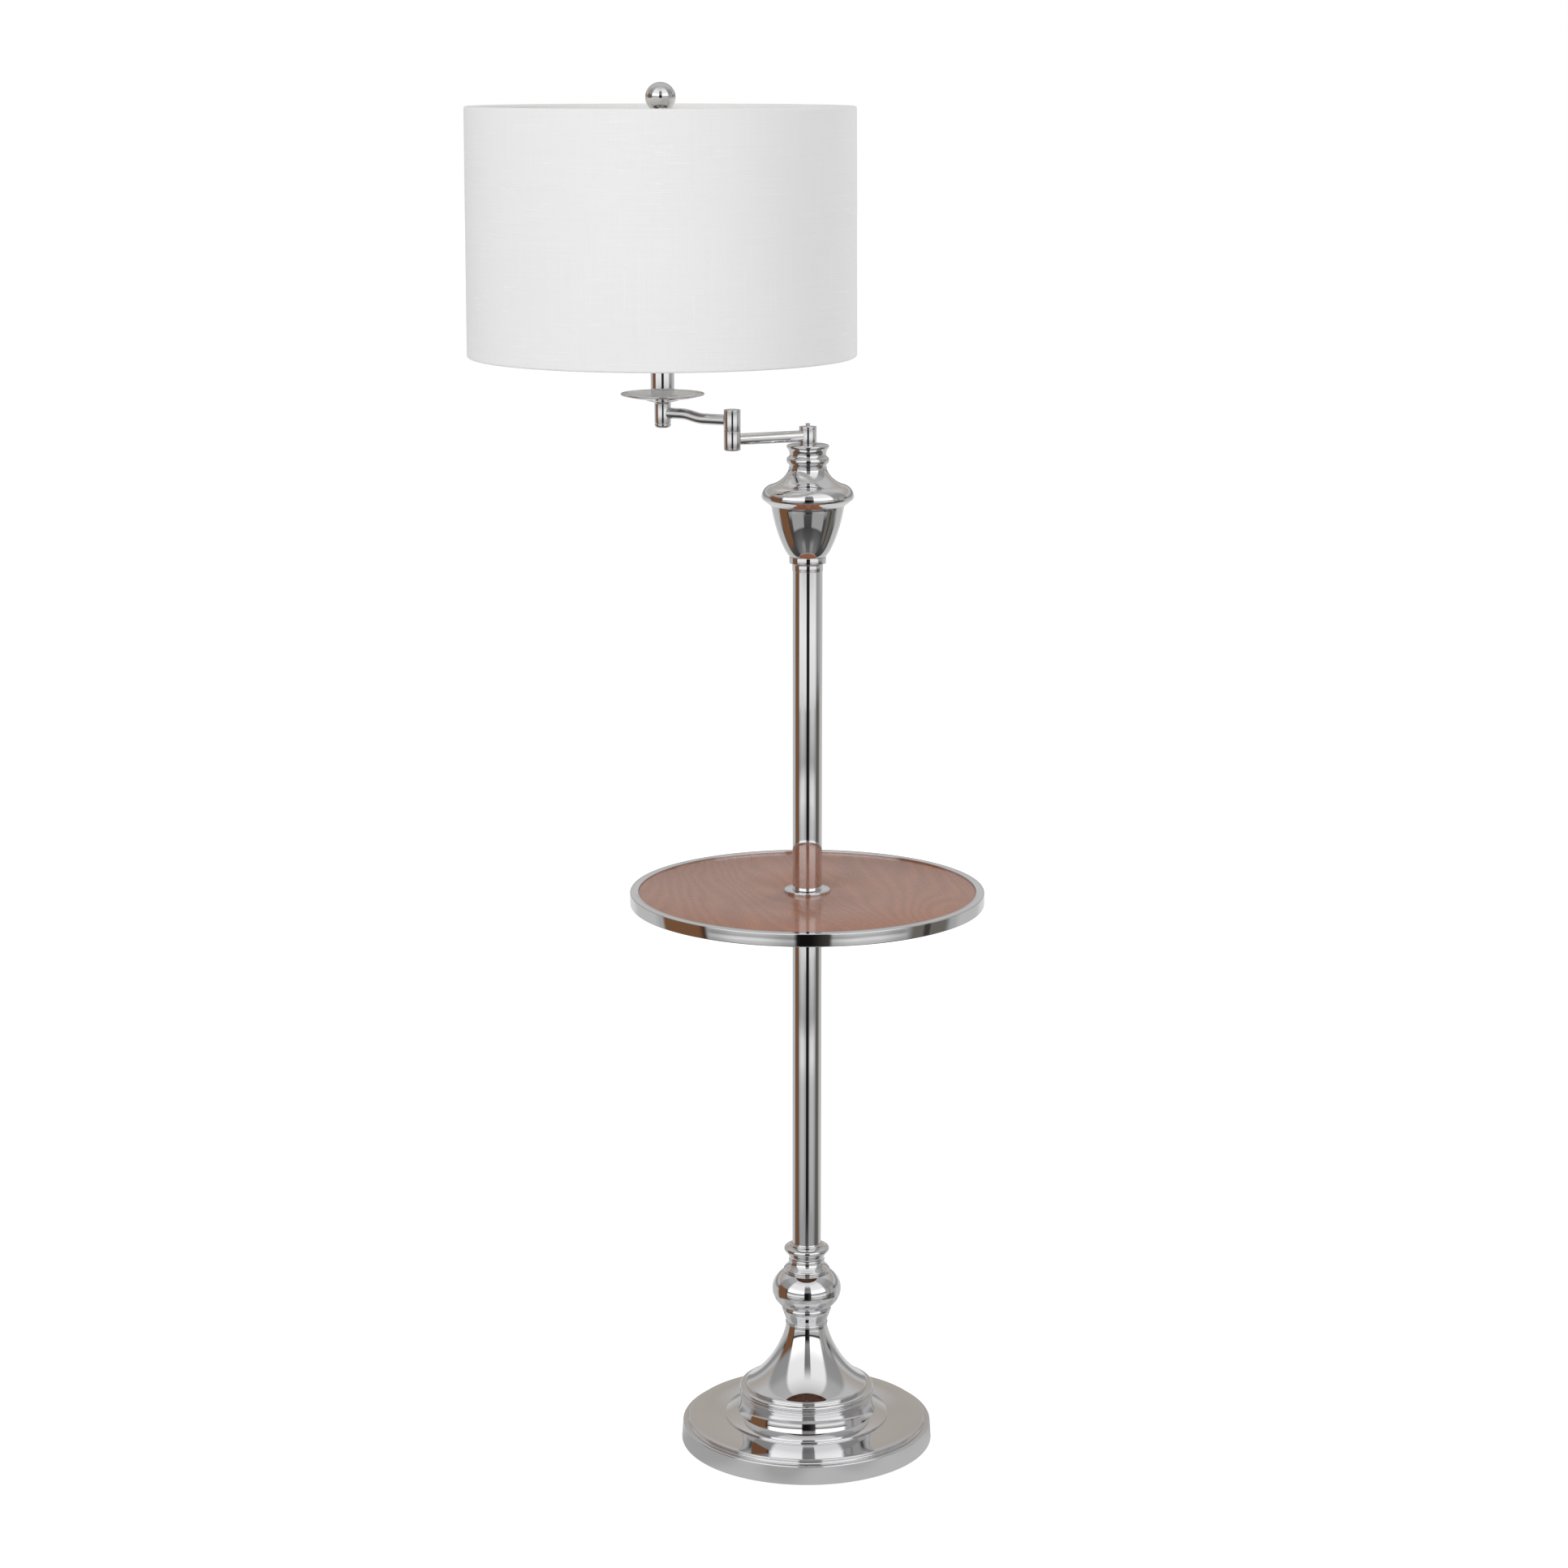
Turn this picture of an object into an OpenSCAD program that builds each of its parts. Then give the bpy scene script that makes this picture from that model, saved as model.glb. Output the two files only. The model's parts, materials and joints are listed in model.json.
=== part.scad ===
// Floor lamp with a round table on its pole and a double swing arm carrying a drum shade.
// Millimetres. +Z is up, the origin is on the floor under the pole, and the head lies towards -X.

/* [Base] */
// Diameter of the base plate at the floor
base_d = 277.4; // [250:0.2:320]
// How far each side of the skirt leans in at its top edge
skirt_lean = 1.3; // [0:0.1:3]
// Height of the base plate's flat middle, on which the step ring stands
base_h = 27.2; // [22:0.2:32]
// Thickness of the base plate's top
plate_wall = 3.2; // [2.4:0.1:4]
// Wall of the base plate's skirt
skirt_wall = 1.6; // [1.2:0.1:2.4]
// Gap between the skirt and the floor
skirt_gap = 0.8; // [0.4:0.1:1.6]
// Radius of the base plate's upper edge
edge_round = 1.5; // [1:0.1:3]
// Distance from the base plate's edge to its ring groove
rim_w = 6.4; // [6:0.2:14]
// Width of the ring groove
groove_w = 1.4; // [1:0.1:3]
// Depth of the ring groove below the rim
groove_depth = 0.4; // [0.3:0.1:0.8]
// How much lower the rim lies than the plate's flat middle
rim_drop = 5.6; // [4:0.1:8]
// How much lower the raised disc's crest lies than the plate's flat middle
crest_drop = 0.9; // [0.4:0.1:1.2]
// Thickness of the felt pad
felt_t = 2.6; // [2:0.1:3]
// Diameter of the step ring on the base plate
step_d = 181; // [172:0.2:220]
// Height of the step ring
step_h = 5.4; // [4.4:0.2:10]
// Height of the step ring's upright edge
step_edge_h = 1; // [0.6:0.1:2]
// Diameter of the drum at its foot
drum_foot_d = 152; // [146:0.2:160]
// Diameter of the drum at its waist
drum_waist_d = 145.6; // [138:0.2:147]
// Diameter of the drum at its lip
drum_lip_d = 150; // [148:0.2:156]
// Height of the drum up to the groove under its bead
drum_h = 23.6; // [16:0.2:30]
// Height of the half-round bead on the drum
bead_h = 5.2; // [3:0.2:6]
// Diameter of the trumpet foot that stands on the drum
flare_d = 134.2; // [110:0.2:144]
// Height of the trumpet foot
flare_h = 71.2; // [60:0.2:100]
// Height of the trumpet foot's upright edge
flare_edge_h = 3; // [2:0.2:6]
// Diameter of the trumpet foot's neck
flare_neck_d = 45.8; // [40:0.2:50]

/* [Stem] */
// Height of the tapered cup under the ball
taper_h = 20.6; // [16:0.2:30]
// Diameter of the tapered cup's top ring
taper_top_d = 55; // [50:0.2:60]
// Diameter of the stem's ball
ball_d = 76.2; // [66:0.2:90]
// Height of the stem's ball between its flats
ball_h = 39.8; // [30:0.2:46]
// Half height that the ball's oval would have if it ran to its poles
ball_rise = 27.8; // [26:0.2:34]
// Diameter of the shoulder ring above the ball
shoulder_d = 50.6; // [48:0.2:60]
// Diameter of the neck below the cap
stem_neck_d = 38.6; // [34:0.2:42]
// Diameter of the cap ring round the tube
cap_d = 49.8; // [47:0.2:58]
// Height of the shoulder, neck and cap together
cap_h = 32.6; // [32:0.2:40]
// Depth of the tube's seat in the cap
seat_depth = 5.6; // [4:0.2:8]

/* [Pole] */
// Outer diameter of the pole tubes
tube_d = 31.8; // [28:0.1:36]
// Wall of the pole tubes
tube_wall = 1.2; // [1:0.1:2]
// Height of the top of the upper tube
pole_h = 974; // [850:1:1100]
// Length of the threaded plugs in the tube ends
plug_h = 14; // [10:0.5:20]

/* [Table] */
// Height of the table's rim above the floor
table_h = 627; // [520:1:740]
// Diameter of the table
table_d = 382; // [320:1:460]
// Height of the table's metal rim
rim_h = 14.2; // [12:0.2:20]
// Width of the rim's flat lip
lip_w = 9; // [6:0.2:14]
// Thickness of the rim's lip
lip_t = 1.4; // [1:0.1:2]
// Wall of the rim's upright band
rim_wall = 1.6; // [1.2:0.1:2.4]
// Thickness of the wooden board
board_t = 12; // [10:0.2:12]
// Diameter of the flange on the board
flange_d = 50; // [42:0.2:70]
// Thickness of the flange on the board
flange_t = 2.8; // [2:0.1:5]
// Depth of the seats that the rim's lip and the flange have in the board
seat_cut = 0.4; // [0.2:0.1:0.8]
// Diameter of the bracket under the board
bracket_d = 84; // [78:0.5:120]
// Thickness of the bracket under the board
bracket_t = 4; // [3:0.2:6]
// Number of wood screws in the bracket
screw_n = 4; // [3:1:6]
// Diameter of the wood screws
screw_d = 3.6; // [3:0.1:4.2]
// Depth that the wood screws reach into the board
screw_bite = 8; // [6:0.2:9]
// Diameter of the circle of wood screws
screw_circle_d = 62; // [56:0.5:68]

/* [Urn] */
// Height of the tube ring and collar under the urn
collar_h = 15.3; // [12:0.1:20]
// Diameter of the collar under the urn
collar_d = 39.2; // [38:0.2:46]
// Height of the urn's bowl
bowl_h = 54.2; // [44:0.2:70]
// Diameter of the bowl's lip
bowl_d = 78; // [72:0.2:82]
// Height of the bell on the bowl
bell_h = 40.5; // [36:0.2:50]
// Largest diameter of the bell
bell_d = 97.8; // [92:0.2:108]
// Diameter of the bell's neck
bell_neck_d = 40.4; // [38:0.2:46]
// Height of the crown on the bell
crown_h = 24; // [21:0.2:32]
// Diameter of the crown's bead and rim
crown_d = 45; // [42:0.2:50]
// Wall of the hollow base and urn castings
cast_wall = 3; // [2:0.1:4]

/* [Swing arm] */
// Distance from the pole's axis to the elbow's axis
lower_arm_len = 87; // [80:0.5:120]
// Distance from the elbow's axis to the head's axis
upper_arm_len = 82; // [78:0.5:120]
// Distance from the pole's axis to the head's axis, as the arm stands
head_reach = 152; // [120:0.5:156]
// Diameter of the hub on the urn
hub_d = 18.6; // [18:0.1:24]
// Height of the hub's barrel
hub_h = 16.2; // [16:0.1:20]
// Diameter of the elbow's barrels
elbow_d = 17.8; // [17.4:0.1:24]
// Height of the elbow's lower barrel
elbow_low_h = 18; // [17.6:0.1:22]
// Height of the elbow's upper barrel
elbow_up_h = 20; // [20:0.1:26]
// Diameter of the barrel under the head
stem_d = 17.4; // [17.2:0.1:24]
// Height of the barrel under the head
stem_h = 20.1; // [19.6:0.1:26]
// Outer diameter of the lower arm's tube
lower_arm_d = 12.2; // [10:0.1:12.2]
// Outer diameter of the upper arm's tube
upper_arm_d = 11.6; // [9:0.1:11.6]
// Wall of the arm tubes
arm_wall = 1; // [0.8:0.1:1.4]
// Height of the lower arm's axis over the hub's foot
lower_arm_z = 8.6; // [8.5:0.1:9.2]
// Height of the upper arm's axis over the elbow's parting line
upper_arm_z = 11; // [10.4:0.1:12.8]
// Rise of the upper arm's double bend
arm_rise = 4.1; // [2:0.1:6]
// Length of the upper arm's double bend
bend_run = 28; // [20:0.5:36]
// Distance from the elbow's axis to the middle of the double bend
bend_at = 46; // [34:0.5:52]
// Wall between a barrel's chamber and its outside
barrel_wall = 2.4; // [2:0.1:2.6]

/* [Head] */
// Diameter of the cup under the drip pan
cup_d = 35.4; // [30:0.2:44]
// Height of the cup under the drip pan
cup_h = 4.6; // [3:0.1:8]
// Diameter of the drip pan
pan_d = 88; // [70:0.5:110]
// Height of the drip pan's rim over its foot
pan_h = 6.4; // [5:0.2:12]
// Thickness of the drip pan
pan_t = 1.3; // [1:0.1:2]
// Diameter of the neck tube
neck_d = 25; // [22:0.1:30]
// Length of the neck tube
neck_h = 49.6; // [30:0.2:80]
// Wall of the neck tube
neck_wall = 1; // [0.8:0.1:2]
// Distance from the head's axis to each harp post
harp_post_x = 24; // [23:0.2:28]
// Half width of the harp
harp_half_w = 45; // [40:0.5:60]
// Diameter of the harp's wire
harp_wire_d = 4; // [3:0.1:5]
// Height of the harp's top over its saddle
harp_h = 233; // [200:1:280]
// Diameter of the socket's shell
socket_d = 34; // [33.4:0.2:38]
// Height of the socket's cap
socket_cap_h = 22; // [18:0.2:26]
// Height of the socket's shell above the cap
socket_shell_h = 38; // [34:0.5:48]
// Diameter of the switch knob
knob_d = 11; // [8:0.2:14]
// Length of the switch knob
knob_len = 12; // [8:0.2:18]
// Diameter of the bulb's glass
bulb_d = 60; // [50:0.5:72]
// Height of the bulb's glass above its cap
bulb_h = 86; // [76:0.5:110]
// Diameter of the bulb's screw cap
bulb_cap_d = 26; // [25:0.1:26.4]

/* [Shade] */
// Diameter of the shade at its top
shade_top_d = 403.6; // [340:1:460]
// Diameter of the shade at its foot
shade_foot_d = 407; // [340:1:460]
// Height of the shade
shade_h = 255.9; // [220:1:300]
// Height of the shade's top edge over the harp's seat
shade_over = 12.8; // [8:0.2:20]
// Thickness of the shade's cloth
cloth_t = 0.8; // [0.6:0.1:1.4]
// Thickness of the stiff lining behind the cloth
lining_t = 0.5; // [0.4:0.1:1]
// Diameter of the wire rings in the shade's hems
ring_d = 3.2; // [2.4:0.1:4]
// Length of the hem that is turned over each ring
hem_h = 8; // [6:0.5:14]
// Number of arms that carry the shade
spider_n = 3; // [3:1:4]
// Diameter of the finial's ball
finial_d = 31.4; // [24:0.2:40]
// Height of the finial's ball centre over the shade's top edge
finial_over = 8.5; // [6:0.1:14]

/* [Fits] */
// Radial clearance of turning pins and of plugs in tubes
run_fit = 0.05; // [0.03:0.01:0.1]
// Radial clearance of bolts and threaded pipes in their holes
bolt_fit = 0.1; // [0.05:0.05:0.3]
// Gap between faces that slide on each other
slide_gap = 0.1; // [0.05:0.05:0.2]
// Outer diameter of the threaded pipes
pipe_d = 10; // [9:0.1:10.4]
// Bore of the threaded pipes
pipe_bore_d = 6.6; // [5.6:0.1:7]
// Diameter of the wire inside the lamp
wire_d = 3.4; // [2.4:0.1:3.6]

/* [Hidden] */
$fn = 96;
// Overshoot of a cut past the face that it opens
over = 1;

// Radii
pipe_r = pipe_d / 2;
pipe_hole_r = pipe_r + bolt_fit;
base_r = base_d / 2;
rim_r = base_r - skirt_lean;
tube_r = tube_d / 2;
tube_bore_r = tube_r - tube_wall;
wire_r = wire_d / 2;
hub_r = hub_d / 2;
elbow_r = elbow_d / 2;
stem_r = stem_d / 2;
lower_arm_r = lower_arm_d / 2;
upper_arm_r = upper_arm_d / 2;
neck_r = neck_d / 2;

// Base: rim, groove and raised disc of the plate, and the weight under the disc
rim_z = base_h - rim_drop;
groove_r = rim_r - rim_w;
crest_z = base_h - crest_drop;
under_plate_z = base_h - plate_wall;
weight_r = groove_r - 3.2;

// Base: recess for the nut, channel for the wire and hole for the grommet
nut_h = 5;
nut_across = 17;
washer_d = 24;
washer_t = 1.5;
recess_r = washer_d / 2 + 2;
recess_web = 4.5;
recess_z = under_plate_z - recess_web;
base_pipe_z = recess_z - washer_t - nut_h;
grommet_z = felt_t + 4.6;
wire_z = felt_t + wire_r + 0.4;
wire_bend = wire_d + 0.6;
wire_lean = pipe_bore_d / 2 - wire_r - 0.6;
channel_w = wire_d + 3;
channel_top = grommet_z + wire_r + 1;
grommet_r = 4.2;
grommet_bore_r = 3.1;
grommet_flange_r = 6.2;
grommet_flange_t = 1.6;
grommet_grip = 3;
wire_end = 4;

// Heights of the stacked base pieces
step_z = base_h;
drum_z = step_z + step_h;
drum_gap = 1;
flare_z = drum_z + drum_h + drum_gap + bead_h;
taper_z = flare_z + flare_h;
ball_z = taper_z + taper_h;
cap_z = ball_z + ball_h;
seat_z = cap_z + cap_h - seat_depth;

// Heights round the table
board_top = table_h - lip_t;
board_z = board_top - board_t;
bracket_z = board_z - bracket_t;
flange_top = board_top + flange_t;

// Heights of the urn
bowl_z = pole_h + collar_h;
bell_z = bowl_z + bowl_h;
crown_z = bell_z + bell_h;
hub_z = crown_z + crown_h + slide_gap;

// Swing arm: the elbow's place follows from the two arms and the head's reach
shoulder_angle = acos((lower_arm_len ^ 2 + head_reach ^ 2 - upper_arm_len ^ 2)
    / (2 * lower_arm_len * head_reach));
lower_heading = 180 + shoulder_angle;
elbow_x = lower_arm_len * cos(lower_heading);
elbow_y = lower_arm_len * sin(lower_heading);
head_x = -head_reach;
upper_heading = 180 - asin(-elbow_y / upper_arm_len);

// Swing arm: heights
hub_floor = 2.3;
pivot_nut_h = 2.6;
pivot_nut_r = 6.3;
lower_axis_z = hub_z + lower_arm_z;
low_barrel_below = 9;
elbow_low_z = lower_axis_z - low_barrel_below;
split_z = elbow_low_z + elbow_low_h;
elbow_up_z = split_z + slide_gap;
elbow_floor = 3;
pin_r = 3.6;
pin_bore_r = wire_r + 0.5;
pin_head_r = 5.6;
pin_head_t = 1.6;
upper_axis_z = split_z + upper_arm_z;
head_axis_z = upper_axis_z + arm_rise;
stem_below = 10.2;
stem_z = head_axis_z - stem_below;
stem_top = stem_z + stem_h;
tube_inset = 0.1;
hub_chamber_r = hub_r - barrel_wall - 0.3;
elbow_chamber_r = elbow_r - barrel_wall;
stem_chamber_r = stem_r - barrel_wall;
cap_t = 2.3;
spigot_h = 1.5;
stud_r = 2.4;
stud_h = 3.4;
tip_h = 5.4;

// Head: heights of what stands on the barrel
pan_z = stem_top + cup_h;
neck_z = pan_z + pan_t;
saddle_z = neck_z + neck_h;
saddle_t = 2;
socket_z = saddle_z + saddle_t;
shell_z = socket_z + socket_cap_h;
shell_top = shell_z + socket_shell_h;
screw_z = shell_z + 10;
knob_z = shell_z + 5;
glass_z = shell_top - 2;
harp_top = saddle_z + harp_h;
harp_seat_top = harp_top + 4;
shade_top = harp_seat_top + shade_over;
shade_z = shade_top - shade_h;
finial_z = shade_top + finial_over;

// Points of an arc round c, with radius r, from angle a to angle b
function arc(c, r, a, b, n = 6) =
    [for (i = [0:n]) let (t = a + (b - a) * i / n) c + r * [cos(t), sin(t)]];
// Points of an oval arc round c, with half width rx and half height rz
function oval(c, rx, rz, a, b, n = 14) =
    [for (i = [0:n]) let (t = a + (b - a) * i / n) c + [rx * cos(t), rz * sin(t)]];
// Points of a curve from p to s that leaves towards q and arrives from r
function curve(p, q, r, s, n = 14) =
    [for (i = [0:n]) let (t = i / n, u = 1 - t)
        u * u * u * p + 3 * u * u * t * q + 3 * u * t * t * r + t * t * t * s];

// Solid of revolution whose outer side is a list of [radius, height], with a bore
module turned(side, bore = 0) {
    low = side[0][1];
    high = side[len(side) - 1][1];
    rotate_extrude() polygon(concat([[bore, low]], side, [[bore, high]]));
}

// Straight tube or rod standing at z
module rod(z, h, r) translate([0, 0, z]) cylinder(h = h, r = r);

// Threaded pipe from z0 to z1
module pipe(z0, z1) difference() {
    rod(z0, z1 - z0, pipe_r);
    rod(z0 - over, z1 - z0 + 2 * over, pipe_bore_d / 2);
}

// Rod along X from x0 to x1 at height z
module bar(x0, x1, z, r) translate([x0, 0, z]) rotate([0, 90, 0]) cylinder(h = x1 - x0, r = r);

// Part of a round bend in the XZ plane: centre, bend radius, rod radius, first angle and sweep
module bend(x, z, bend_r, r, from, sweep)
    translate([x, 0, z]) rotate([90, 0, 0]) rotate([0, 0, from])
        rotate_extrude(angle = sweep) translate([bend_r, 0]) circle(r = r);

// Ball, a hair thicker than the rod, in which two stretches of a bent rod meet
knuckle_over = 0.1;
module knuckle(x, z, r) translate([x, 0, z]) sphere(r = r + knuckle_over);

// Round tube, or wire where its bore is nil, carried along stations [x, z, heading] in the XZ plane
module swept(stations, r, bore_r = 0, sides = 24) {
    last = (len(stations) - 1) * sides;
    inner = bore_r > 0 ? last + sides : 0;
    rings = [0:sides:last - 1];
    function ring_points(radius) = [for (s = stations, i = [0:sides - 1]) let (a = 360 * i / sides)
        [s[0] - radius * cos(a) * sin(s[2]), radius * sin(a), s[1] + radius * cos(a) * cos(s[2])]];
    function band(a, b) = [for (i = [0:sides - 1]) let (j = (i + 1) % sides)
        each [[a + i, a + j, b + j], [a + i, b + j, b + i]]];
    walls = [for (k = rings) each band(k, k + sides)];
    bores = [for (k = rings) each band(inner + k + sides, inner + k)];
    discs = [[for (i = [sides - 1:-1:0]) i], [for (i = [0:sides - 1]) last + i]];
    polyhedron(
        points = concat(ring_points(r), bore_r > 0 ? ring_points(bore_r) : []),
        faces = concat(walls, bore_r > 0
            ? concat(bores, band(inner, 0), band(last, inner + last)) : discs));
}

// Stations [x, z, heading] of an arc that turns from heading a to b round [x, z]
function turn(x, z, r, a, b, n = 8) = let (side = sign(b - a))
    [for (i = [0:n]) let (t = a + (b - a) * i / n)
        [x + side * r * sin(t), z - side * r * cos(t), t]];

// Frames in which each arm lies along +X
module at_shoulder() rotate([0, 0, lower_heading]) children();
module at_elbow() translate([elbow_x, elbow_y, 0]) children();
module along_upper() at_elbow() rotate([0, 0, upper_heading]) children();
module at_head() translate([head_x, 0, 0]) children();

// Base ------------------------------------------------------------------------------------

module felt_pad() color("dimgray") cylinder(h = felt_t, r = weight_r);

// Round way of radius r that runs out along +Y at the height of the cord's outlet
module grommet_way(r, from, to)
    translate([0, from, grommet_z]) rotate([-90, 0, 0]) cylinder(h = to - from, r = r);

module base_weight() color("darkslategray") difference() {
    rod(felt_t, under_plate_z - felt_t, weight_r);
    rod(felt_t - over, recess_z - felt_t + over, recess_r);
    rod(felt_t, under_plate_z, pipe_hole_r);
    translate([-channel_w / 2, 0, felt_t - over])
        cube([channel_w, base_r, channel_top - felt_t + over]);
}

module base_plate() color("silver") {
    crest_r = groove_r - 1.6;
    crest_round = 1.3;
    flat_r = step_d / 2 + 0.8;
    dish = crest_r - flat_r;
    low_z = rim_z - groove_depth;
    under_r = weight_r + bolt_fit;
    under_rim_z = rim_z - plate_wall;
    difference() {
        rotate_extrude() polygon(concat(
            [[base_r, skirt_gap]],
            arc([rim_r - edge_round, rim_z - edge_round], edge_round, 0, 90),
            [[groove_r + groove_w, rim_z], [groove_r + groove_w / 2, low_z], [groove_r, low_z]],
            [[groove_r - 1.1, low_z + 1.2], [groove_r - 1.3, low_z + 2.2]],
            arc([crest_r, crest_z - crest_round], crest_round, -50, 90),
            curve([crest_r - 0.1, crest_z], [crest_r - 0.3 * dish, crest_z - 0.8],
                [crest_r - 0.67 * dish, crest_z], [flat_r, base_h]),
            [[pipe_hole_r, base_h], [pipe_hole_r, under_plate_z]],
            [[under_r, under_plate_z], [under_r, under_rim_z]],
            [[rim_r - skirt_wall, under_rim_z], [base_r - skirt_wall, skirt_gap]]));
        grommet_way(grommet_r + bolt_fit, rim_r - skirt_wall - over, base_r + over);
    }
}

module base_nut() color("goldenrod") difference() {
    union() {
        rod(recess_z - washer_t, washer_t, washer_d / 2);
        translate([0, 0, base_pipe_z])
            cylinder(h = nut_h, d = nut_across / cos(30), $fn = 6);
    }
    rod(base_pipe_z - over, recess_z, pipe_r + run_fit);
}

module base_pipe() color("goldenrod") pipe(base_pipe_z, seat_z + plug_h);

module cord_grommet() color("black") {
    inner = rim_r - skirt_wall - grommet_grip;
    outer = base_r + bolt_fit;
    difference() {
        union() {
            grommet_way(grommet_r, inner, outer);
            grommet_way(grommet_flange_r, outer, outer + grommet_flange_t);
        }
        grommet_way(grommet_bore_r, inner - over, outer + grommet_flange_t + over);
    }
}

module base_step() color("silver") {
    r = step_d / 2;
    edge = 1.4;
    side = concat([[r, 0]], arc([r - edge, step_edge_h], edge, 0, 75, 4),
        [[drum_foot_d / 2 + 1, step_h]]);
    translate([0, 0, step_z]) difference() {
        turned(side, pipe_hole_r);
        rod(-over, step_h - cast_wall + over, drum_waist_d / 2 - cast_wall);
    }
}

module base_drum() color("silver") {
    foot_r = drum_foot_d / 2;
    waist_r = drum_waist_d / 2;
    lip_r = drum_lip_d / 2;
    lip_h = 2.4;
    bead_r = bead_h / 2;
    bead_z = drum_h + drum_gap;
    side = concat(
        curve([foot_r, 0], [waist_r + 0.8, 0.2 * drum_h], [waist_r, 0.4 * drum_h],
            [waist_r, 0.66 * drum_h]),
        [[waist_r + 0.4, 0.72 * drum_h], [lip_r - 0.3, drum_h - lip_h - 0.6]],
        arc([lip_r - lip_h / 2, drum_h - lip_h / 2], lip_h / 2, -20, 90),
        [[lip_r - lip_h, drum_h], [lip_r - lip_h, bead_z]],
        arc([lip_r - bead_r - 1, bead_z + bead_r], bead_r, -90, 90, 10));
    translate([0, 0, drum_z]) difference() {
        turned(side, pipe_hole_r);
        rod(-over, bead_z + bead_h - cast_wall + over, waist_r - cast_wall);
    }
}

// Side of the trumpet foot, drawn in by inset
function flare_side(inset) =
    let (foot = flare_d / 2 - inset, neck = flare_neck_d / 2 - inset, w = foot - neck)
    concat([[foot, 0], [foot, flare_edge_h]],
        curve([foot - 1, flare_edge_h + 0.8], [neck + 0.468 * w, 0.245 * flare_h],
            [neck + 0.08 * w, 0.693 * flare_h], [neck, flare_h - 2], 18),
        [[neck, flare_h]]);

module base_flare() color("silver") translate([0, 0, flare_z]) difference() {
    turned(flare_side(0), pipe_hole_r);
    intersection() {
        turned(flare_side(cast_wall));
        rod(-over, flare_h - cast_wall + over, flare_d / 2);
    }
}

// Stem ------------------------------------------------------------------------------------

module stem_taper() color("silver") {
    foot_r = flare_neck_d / 2;
    top_r = taper_top_d / 2;
    ring = 1.4;
    ring_top = 4.4;
    side = concat(
        arc([foot_r - 0.8, ring], ring, -80, 80),
        curve([foot_r - 0.5, 2 * ring], [foot_r + 0.4, 0.35 * taper_h],
            [top_r - 1.6, 0.6 * taper_h], [top_r - 0.9, taper_h - ring_top - 1], 8),
        arc([top_r - ring, taper_h - ring_top + ring], ring, -60, 0, 4),
        [[top_r, taper_h - ring]],
        [[top_r - 0.7, taper_h]]);
    translate([0, 0, taper_z]) turned(side, pipe_hole_r);
}

module stem_ball() color("silver") {
    cut = asin(ball_h / 2 / ball_rise);
    inner_cut = asin((ball_h / 2 - cast_wall) / (ball_rise - cast_wall));
    translate([0, 0, ball_z + ball_h / 2]) difference() {
        turned(oval([0, 0], ball_d / 2, ball_rise, -cut, cut, 20), pipe_hole_r);
        turned(oval([0, 0], ball_d / 2 - cast_wall, ball_rise - cast_wall, -inner_cut, inner_cut));
    }
}

module stem_cap() color("silver") {
    neck = stem_neck_d / 2;
    edge = shoulder_d / 2;
    ring = 3.3;
    ring_z = cap_h - 6.6;
    ring_x = cap_d / 2 - ring;
    neck_top = ring_z - 10;
    collar = tube_r + 2.6;
    side = concat(
        [[edge - 2.2, 0], [edge - 1.6, 0.6], [edge - 1.6, 1.4], [edge - 2, 1.8]],
        [[edge - 0.4, 2.2], [edge, 2.8], [edge, 3.8], [edge - 0.5, 4.5]],
        curve([edge - 0.8, 4.7], [edge - 3, 7.4], [neck + 0.3, 9], [neck, 13], 10),
        [[neck + 0.6, 13.6], [neck + 0.6, 14.6], [neck, 15.2]],
        curve([neck, neck_top], [neck + 0.3, neck_top + 3.6], [ring_x + 0.4, ring_z - 5],
            [ring_x + 1.4, ring_z - 3.3], 8),
        arc([ring_x, ring_z], ring, -60, 90, 10),
        [[collar, ring_z + ring + 0.5], [collar, cap_h - 0.8], [collar - 0.8, cap_h]]);
    translate([0, 0, cap_z]) difference() {
        turned(side, pipe_hole_r);
        rod(cap_h - seat_depth, seat_depth + over, tube_r + bolt_fit);
    }
}

// Pole and table --------------------------------------------------------------------------

module tube(z0, z1) color("silver") difference() {
    rod(z0, z1 - z0, tube_r);
    rod(z0 - over, z1 - z0 + 2 * over, tube_bore_r);
}

module lower_tube() tube(seat_z, bracket_z);
module upper_tube() tube(flange_top, pole_h);

module tube_plugs() color("goldenrod")
    for (z = [seat_z, bracket_z - plug_h, flange_top, pole_h - plug_h]) difference() {
        rod(z, plug_h, tube_bore_r - run_fit);
        rod(z - over, plug_h + 2 * over, pipe_r + run_fit);
    }

module table_pipe() color("goldenrod") pipe(bracket_z - plug_h, flange_top + plug_h);

// Places of the wood screws
module at_screws() for (i = [0:screw_n - 1])
    rotate([0, 0, 45 + 360 * i / screw_n]) translate([screw_circle_d / 2, 0, 0]) children();

module table_bracket() color("dimgray") difference() {
    rod(bracket_z, bracket_t, bracket_d / 2);
    rod(bracket_z - over, bracket_t + 2 * over, pipe_hole_r);
    at_screws() rod(bracket_z - over, bracket_t + 2 * over, screw_d / 2 + bolt_fit);
}

module table_screws() color("goldenrod") at_screws() {
    head_t = 2;
    rod(bracket_z, bracket_t + screw_bite, screw_d / 2);
    rod(bracket_z - head_t, head_t, screw_d);
}

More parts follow.
